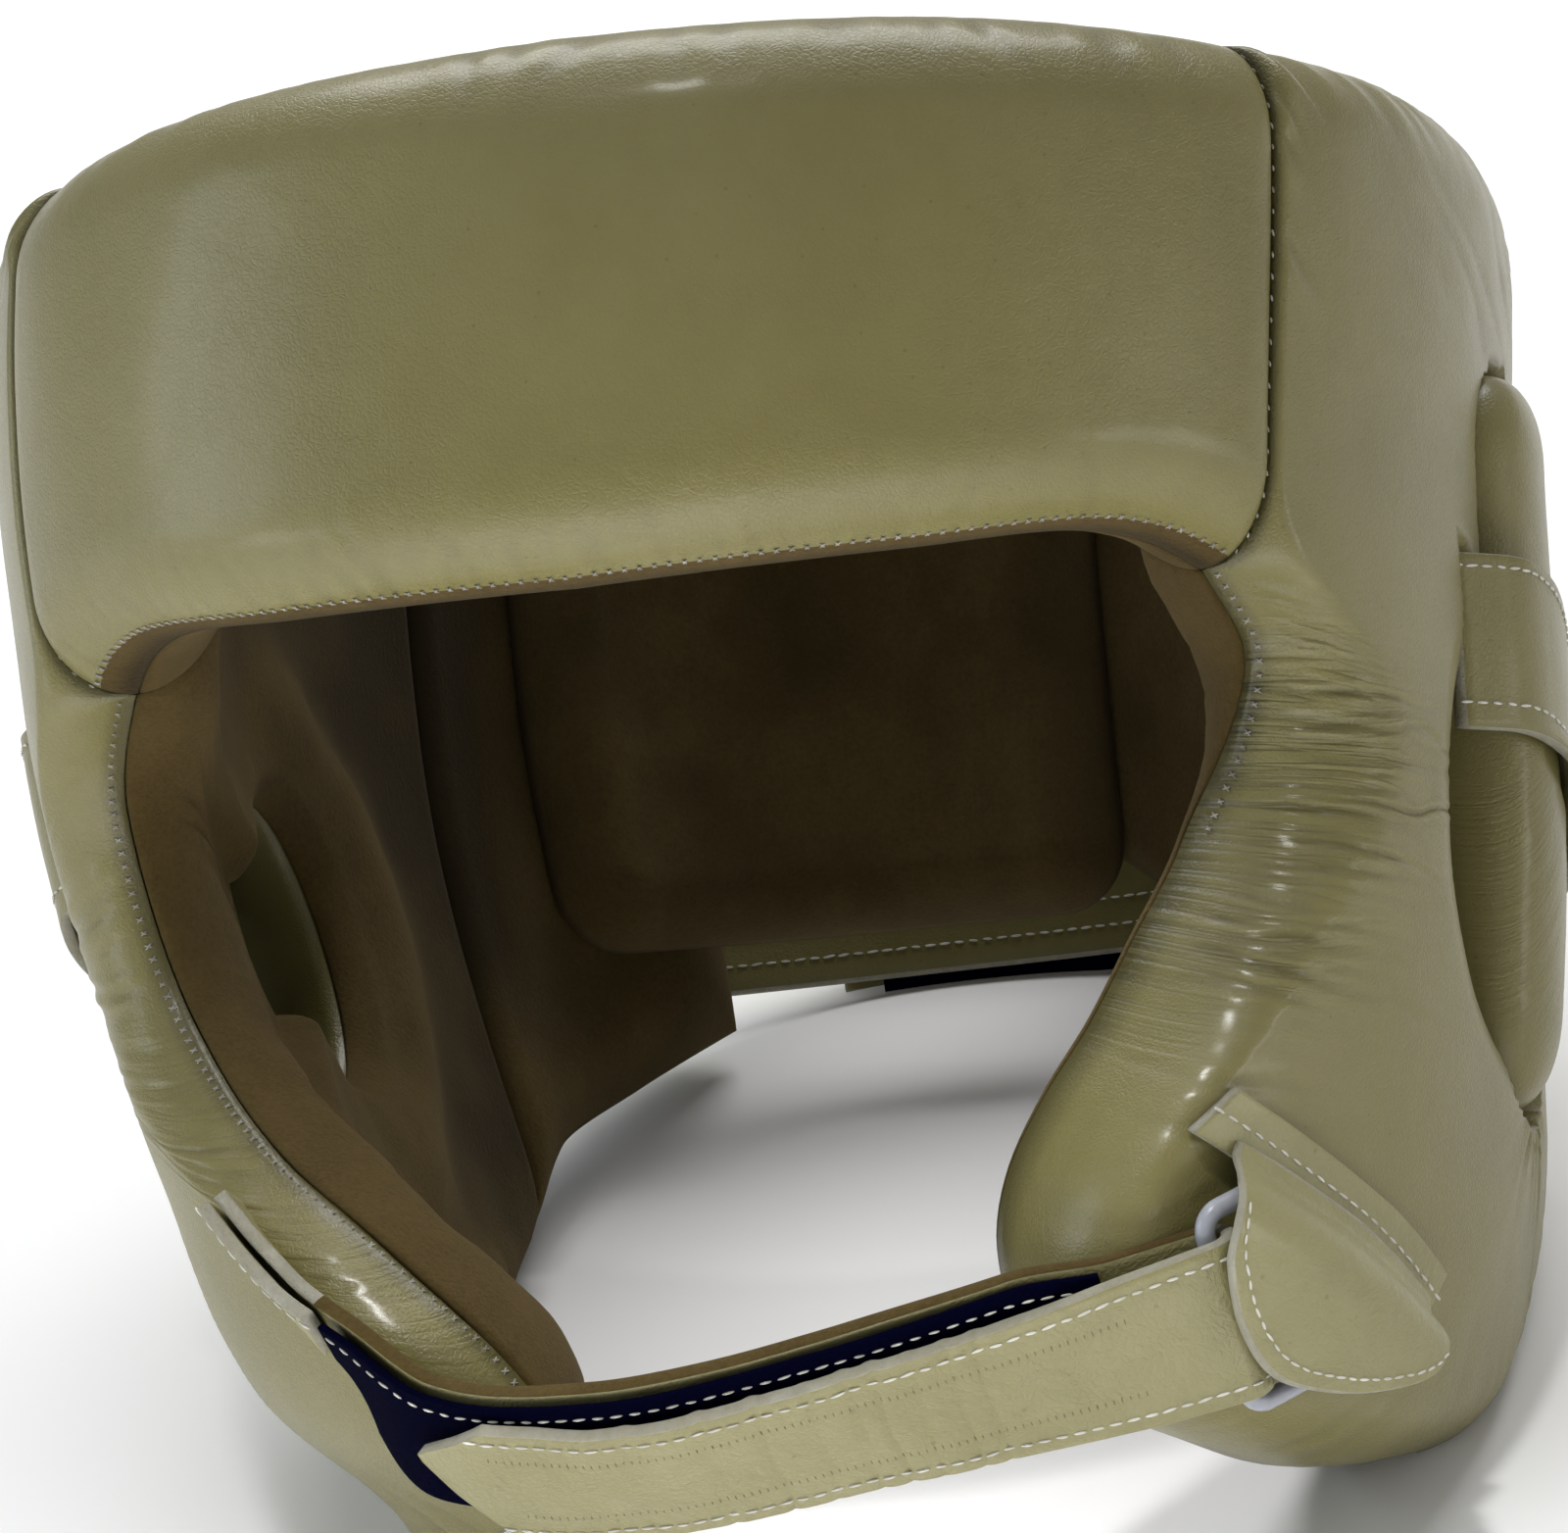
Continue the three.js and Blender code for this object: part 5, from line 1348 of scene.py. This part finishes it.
def anchor_rows(a, lift, steps=60):
    """Tab over the sewn end of the strap."""
    above = LEATHER + 2.5 * GAP - STRAP["inner"]
    centre, width, _ = strap_line(np.linspace(0, ANCHOR["share"], steps), above)
    return ribbon_rows(centre, width, ANCHOR["narrow"] * a + ANCHOR["shift"], ANCHOR["half_width"], lift)


def small_patch(name, rows, low, high):
    body, marks = strip(rows, 15, low, high)
    make_piece(name + "_strip", body, [STRAP_KHAKI, RAW_EDGE], name, marked=marks)


# Stitches
def stitch_tree():
    """Geometry nodes: stitches set along broken lines whose points carry an outward direction."""
    tree = bpy.data.node_groups.new("stitches", "GeometryNodeTree")
    new = tree.interface.new_socket
    new("Geometry", in_out="INPUT", socket_type="NodeSocketGeometry")
    for name in ("Pitch", "Length", "Thickness", "Angle", "Jitter"):
        new(name, in_out="INPUT", socket_type="NodeSocketFloat")
    new("Seed", in_out="INPUT", socket_type="NodeSocketInt")
    new("Material", in_out="INPUT", socket_type="NodeSocketMaterial")
    new("Geometry", in_out="OUTPUT", socket_type="NodeSocketGeometry")
    given = tree.nodes.new("NodeGroupInput").outputs
    out = tree.nodes.new("NodeGroupOutput").inputs
    node = lambda kind, inputs=None, **settings: add(tree, kind, inputs, **settings)
    curve = node("GeometryNodeMeshToCurve", {"Mesh": given["Geometry"]}).outputs[0]
    spaced = {"Curve": curve, "Length": given["Pitch"]}
    points = node("GeometryNodeResampleCurve", spaced, mode="LENGTH").outputs[0]
    tangent = node("GeometryNodeInputTangent").outputs[0]
    outwards = node("GeometryNodeInputNamedAttribute", {"Name": "out"}, data_type="FLOAT_VECTOR").outputs[0]
    turn = node("FunctionNodeAlignRotationToVector", {"Vector": tangent}, axis="X")
    upright = {"Rotation": turn.outputs[0], "Vector": outwards}
    turn = node("FunctionNodeAlignRotationToVector", upright, axis="Z", pivot_axis="X")
    low, high = minus(tree, given["Angle"], given["Jitter"]), plus(tree, given["Angle"], given["Jitter"])
    chance = lambda low, high: node(
        "FunctionNodeRandomValue", {2: low, 3: high, "Seed": given["Seed"]}, data_type="FLOAT",
    ).outputs[1]
    angle = chance(low, high)
    spin = node("FunctionNodeAxisAngleToRotation", {"Axis": (0, 0, 1), "Angle": angle}).outputs[0]
    spun = {"Rotation": turn.outputs[0], "Rotate By": spin}
    turn = node("FunctionNodeRotateRotation", spun, rotation_space="LOCAL")
    bead = node("GeometryNodeMeshUVSphere", {"Segments": 8, "Rings": 5, "Radius": 0.5}).outputs[0]
    long, thick = times(tree, given["Length"], chance(0.8, 1.1)), given["Thickness"]
    size = node("ShaderNodeCombineXYZ", {"X": long, "Y": thick, "Z": thick}).outputs[0]
    laid = node("GeometryNodeInstanceOnPoints", {
        "Points": points, "Instance": bead, "Rotation": turn.outputs[0], "Scale": size,
    }).outputs[0]
    real = node("GeometryNodeRealizeInstances", {"Geometry": laid}).outputs[0]
    rounded = node("GeometryNodeSetShadeSmooth", {"Geometry": real}).outputs[0]
    done = node("GeometryNodeSetMaterial", {"Geometry": rounded, "Material": given["Material"]}).outputs[0]
    tree.links.new(done, out["Geometry"])
    return tree


STITCHES = stitch_tree()


def sew(name, paths, material, pitch, length, thickness, angle=0.0, jitter=0.12):
    """Stitches along paths of points and outward directions in the head frame; sizes in millimetres."""
    counts = [len(points) for points, _ in paths]
    edges, first = [], 0
    for count in counts:
        edges += [(first + k, first + k + 1) for k in range(count - 1)]
        first += count
    mesh = bpy.data.meshes.new(name + "_lines")
    points = settle(np.concatenate([p for p, _ in paths]))
    mesh.from_pydata(world(points).tolist(), edges, [])
    directions = turned(unit(np.concatenate([o for _, o in paths])))
    outwards = mesh.attributes.new("out", "FLOAT_VECTOR", "POINT")
    outwards.data.foreach_set("vector", directions.ravel().astype(np.float32))
    piece = bpy.data.objects.new(name, mesh)
    bpy.context.scene.collection.objects.link(piece)
    modifier = piece.modifiers.new("stitches", "NODES")
    modifier.node_group = STITCHES
    values = {
        "Pitch": pitch / 1000, "Length": length / 1000, "Thickness": thickness / 1000,
        "Angle": math.radians(angle), "Jitter": jitter, "Seed": SEED, "Material": material,
    }
    for item in STITCHES.interface.items_tree:
        if item.in_out == "INPUT" and item.name in values:
            modifier[item.identifier] = values[item.name]
    depsgraph = bpy.context.evaluated_depsgraph_get()
    plain = bpy.data.meshes.new_from_object(piece.evaluated_get(depsgraph))
    piece.modifiers.remove(modifier)
    piece.data = plain
    plain.name = name
    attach(piece, "root")
    return piece


THREAD_PROUD = 0.15
BROW_SEAM_END = 44


def end_share(away):
    """Share of the full depth near an end of a seam, by the distance from it."""
    return np.sqrt(1 - (1 - np.clip(away / ROLL, 0, 1)) ** 2)


def temple_path(side):
    """Down the temple seam, at the bottom of its groove."""
    t = np.linspace(0.04, 0.97, 60)
    (top_phi, top_z), (low_phi, low_z) = TEMPLE_SEAM["top"], TEMPLE_SEAM["bottom"]
    phi, z = top_phi * (1 - t) + low_phi * t, top_z * (1 - t) + low_z * t
    share = (1 - TEMPLE_SEAM["groove"]) * end_share(top_z - z) * end_share(z - low_z)
    depth = SEAM_DEPTH + GAP + (PAD - SEAM_DEPTH - GAP) * share + THREAD_PROUD
    return skin(MIRROR[side] * phi, z, depth), outward(MIRROR[side] * phi, z)


def rim_path(side, lowest, tau):
    """Down a cheek's free edge from the temple, part way round its roll."""
    rim = cheek_outline(side)
    pick = slice(3, int(np.argmax(rim["z"][:EDGE_POINTS, 0] < lowest)))
    phi, z = rim["phi"][pick, 0], rim["z"][pick, 0]
    into_phi, into_z = EAR_HOLE["phi"] - phi, EAR_HOLE["z"] - z
    far = np.hypot(into_phi * MM_PER_DEGREE["cheek"], into_z)
    into_phi, into_z = into_phi / far, into_z / far
    return roll_path(phi, z, into_phi, into_z, tau, MIRROR[side], rim_seam(side, phi, z))


def roll_path(phi, z, into_phi, into_z, tau, mirror, seam=SEAM_DEPTH):
    """Along an edge, tau degrees round its roll; into is the direction into the panel."""
    s, c = math.sin(math.radians(tau)), math.cos(math.radians(tau))
    d, depth = ROLL * (1 - c), seam + GAP + (PAD - seam - GAP) * s
    phi, z = phi + into_phi * d, z + into_z * d
    inwards = unit(skin(mirror * (phi + into_phi), z + into_z, depth) - skin(mirror * phi, z, depth))
    out = unit(outward(mirror * phi, z) * s - inwards * c)
    return skin(mirror * phi, z, depth) + out * THREAD_PROUD, out


def brow_path(tau):
    """Along the brow edge, part way round its roll."""
    phi = np.linspace(-BROW_SEAM_END, BROW_SEAM_END, 160)
    return roll_path(phi, brow_z(phi), 0 * phi, 1 + 0 * phi, tau, 1)


def strip_path(rows, a, lift, first=0, last=None, flip=1):
    """Along a strip at one place across it, on the face at the lift given."""
    points = rows(a, lift)[first:last]
    across = rows(a + 0.05, lift)[first:last] - rows(a - 0.05, lift)[first:last]
    out = unit(np.cross(np.gradient(points, axis=0), across))
    return points + out * flip * 0.1, out * flip


# Pieces
panel_pieces("front_pad", "front_lining", front_panel(), front_relief)
for side in MIRROR:
    cheek_pieces(side)
    panel_pieces("rear_wing_" + side, "rear_wing_lining_" + side, wing_panel(side), wing_relief)
    ear_bar(side)
    ear_band(side)
back_pad()
back_band("back_strap", BACK_STRAP, [KHAKI, RAW_EDGE])
back_band("back_hook", BACK_HOOK, [TAPE])
back_band("back_flap", BACK_FLAP, [KHAKI, RAW_EDGE])
chin_strap()
strap_pile()
strap_ring()
ring_tab()
small_patch("ring_patch", sewn_rows, 0, LEATHER)
small_patch("anchor_tab", anchor_rows, -LEATHER / 2, LEATHER / 2)

# Seams of the pads: small crossed stitches where leather meets suede, single ones down the temples
edges = [rim_path("left", lowest=-50, tau=10), rim_path("right", lowest=-118, tau=10), brow_path(tau=27)]
for name, angle in (("edge_stitches", 58), ("edge_stitches_crossed", 122)):
    sew(name, edges, SEAM_THREAD, pitch=2.05, length=1.4, thickness=0.32, angle=angle)
temples = [temple_path(side) for side in MIRROR]
sew("temple_stitches", temples, SEAM_THREAD, pitch=3.0, length=1.0, thickness=0.34, angle=20)

# Straps, bands and tabs: running stitches
back_rows = lambda a, lift: band_place(BACK_STRAP, a, lift)
returning = INNER_ROWS + 10, INNER_ROWS + 13 + RETURN_ROWS
dented = INNER_ROWS + 18, INNER_ROWS + RETURN_ROWS
FLAP_INSET = 3.6
FLAP_SEWN = dict(first=8, last=102, flip=-1)
running = [
    strip_path(band_rows(side, 90), a, LEATHER, flip=MIRROR[side]) for side in MIRROR for a in (-0.74, 0.86)
]
running += [strip_path(chin_rows, a, LEATHER / 2, *returning) for a in (-0.82, 0.82)]
running += [strip_path(anchor_rows, a, -LEATHER / 2, flip=-1) for a in (-0.8, 0.8)]
running += [strip_path(sewn_rows, 0.05, LEATHER)]
running += [strip_path(back_rows, a, 0, flip=-1) for a in (-0.84, -0.66)]
sew("strap_stitches", running, PALE_THREAD, pitch=2.5, length=2.15, thickness=0.45)
inset = lambda a, lift: flap_rows(1 - FLAP_INSET / (flap_reach() + FLAP_ROOT) + a, lift)
flap_edge = [strip_path(inset, 0, LEATHER / 2, **FLAP_SEWN)]
sew("flap_stitches", flap_edge, PALE_THREAD, pitch=2.1, length=1.8, thickness=0.42)
# Painted shade: small dark beads along the return run stand for the shade in the strap's dents.
dent_shade_lines = [strip_path(chin_rows, a, LEATHER / 2 - 0.12, *dented) for a in (-0.5, 0.52)]
sew("strap_dent_shade_beads", dent_shade_lines, DENT_SHADE, pitch=1.15, length=1.0, thickness=0.22, angle=90, jitter=0.05)
pile_edge = [strip_path(pile_rows(PILE_SEAM), -0.78, -STRAP["pile"] / 2, flip=-1)]
sew("pile_stitches", pile_edge, PALE_THREAD, pitch=2.6, length=1.9, thickness=0.4)


# Stage
def area_light(name, place, aim, size, power, colour=(1, 1, 1)):
    lamp = bpy.data.lights.new(name, "AREA")
    lamp.shape = "RECTANGLE"
    lamp.size, lamp.size_y = size
    lamp.energy = power
    lamp.color = colour
    light = bpy.data.objects.new(name, lamp)
    light.location = place
    light.rotation_euler = (Vector(aim) - Vector(place)).to_track_quat("-Z", "Y").to_euler()
    bpy.context.scene.collection.objects.link(light)


def floor_light(name, place, half_angle, power):
    """Round beam straight down, on the floor in front of the guard."""
    lamp = bpy.data.lights.new(name, "SPOT")
    lamp.spot_size = math.radians(2 * half_angle)
    lamp.spot_blend = 0.7
    lamp.shadow_soft_size = 0.2
    lamp.energy = power
    light = bpy.data.objects.new(name, lamp)
    light.location = place
    bpy.context.scene.collection.objects.link(light)


def floor_finish():
    return finish("pale_floor", Roughness=0.8, Specular_IOR_Level=0.2, Base_Color=(0.9, 0.9, 0.9, 1))[0]


floor_mesh = bpy.data.meshes.new("floor")
reach = 6
corners = [(x * reach, y * reach, 0) for x, y in ((-1, -1), (1, -1), (1, 1), (-1, 1))]
floor_mesh.from_pydata(corners, [], [(0, 1, 2, 3)])
floor_mesh.materials.append(floor_finish())
floor = bpy.data.objects.new("floor", floor_mesh)
bpy.context.scene.collection.objects.link(floor)

SKY_STRENGTH = 0.32
surroundings = bpy.data.worlds.new("studio")
surroundings.use_nodes = True
sky = surroundings.node_tree.nodes["Background"].inputs
sky["Color"].default_value = (1, 1, 1, 1)
sky["Strength"].default_value = SKY_STRENGTH
bpy.context.scene.world = surroundings
# Lights, in metres and watts
LIGHTS = dict(
    back_light=dict(place=(0.0, 1.5, 1.9), aim=(0, -0.1, 0), size=(2.4, 1.2), power=62),
    left_light=dict(
        place=(-1.9, -0.55, 0.8), aim=(0, 0, 0.12), size=(0.9, 1.3), power=14, colour=(0.8, 0.9, 1),
    ),
    right_light=dict(place=(1.9, -0.5, 0.8), aim=(0, 0, 0.12), size=(0.9, 1.3), power=1),
    low_right_light=dict(place=(1.3, -0.35, 0.1), aim=(0.1, 0, 0.04), size=(0.5, 0.2), power=2),
    low_left_light=dict(place=(-1.1, -0.9, 0.1), aim=(-0.08, -0.08, 0.04), size=(0.4, 0.2), power=1.6),
)
for name, light in LIGHTS.items():
    area_light(name, **light)
floor_light("floor_light", place=(0.0, -0.6, 2.5), half_angle=11, power=1000)


CAMERA = dict(
    azimuth=13.5, elevation=-5.5, roll=5.3, distance=900, pixels_per_mm=6.65, picture_width=1600,
    aim_right=1.95, aim_down=31.9, sensor=36,
)


def place_camera():
    """Photo's view: directions and distance from the head's origin."""
    azimuth, elevation, roll = (math.radians(CAMERA[key]) for key in ("azimuth", "elevation", "roll"))
    flat = math.cos(elevation)
    back = np.array([math.sin(azimuth) * flat, -math.cos(azimuth) * flat, math.sin(elevation)])
    level = np.array([math.cos(azimuth), math.sin(azimuth), 0])
    upright = np.cross(back, level)
    right = level * math.cos(roll) - upright * math.sin(roll)
    up = level * math.sin(roll) + upright * math.cos(roll)
    eye = back * CAMERA["distance"]
    back = unit(eye - right * CAMERA["aim_right"] + up * CAMERA["aim_down"])
    right = unit(np.cross(up, back))
    up = np.cross(back, right)
    lens = bpy.data.cameras.new("photo_camera")
    lens.sensor_width = CAMERA["sensor"]
    lens.lens = CAMERA["sensor"] * CAMERA["distance"] * CAMERA["pixels_per_mm"] / CAMERA["picture_width"]
    lens.clip_start, lens.clip_end = 0.05, 30
    camera = bpy.data.objects.new("photo_camera", lens)
    pose = Matrix.Identity(4)
    for k, axis in enumerate(turned(np.stack([right, up, back]))):
        pose.col[k].xyz = Vector(axis)
    pose.col[3].xyz = Vector(world(eye))
    camera.matrix_world = pose
    bpy.context.scene.collection.objects.link(camera)
    bpy.context.scene.camera = camera


place_camera()
bpy.context.scene.view_settings.view_transform = "Standard"

bpy.context.view_layer.update()
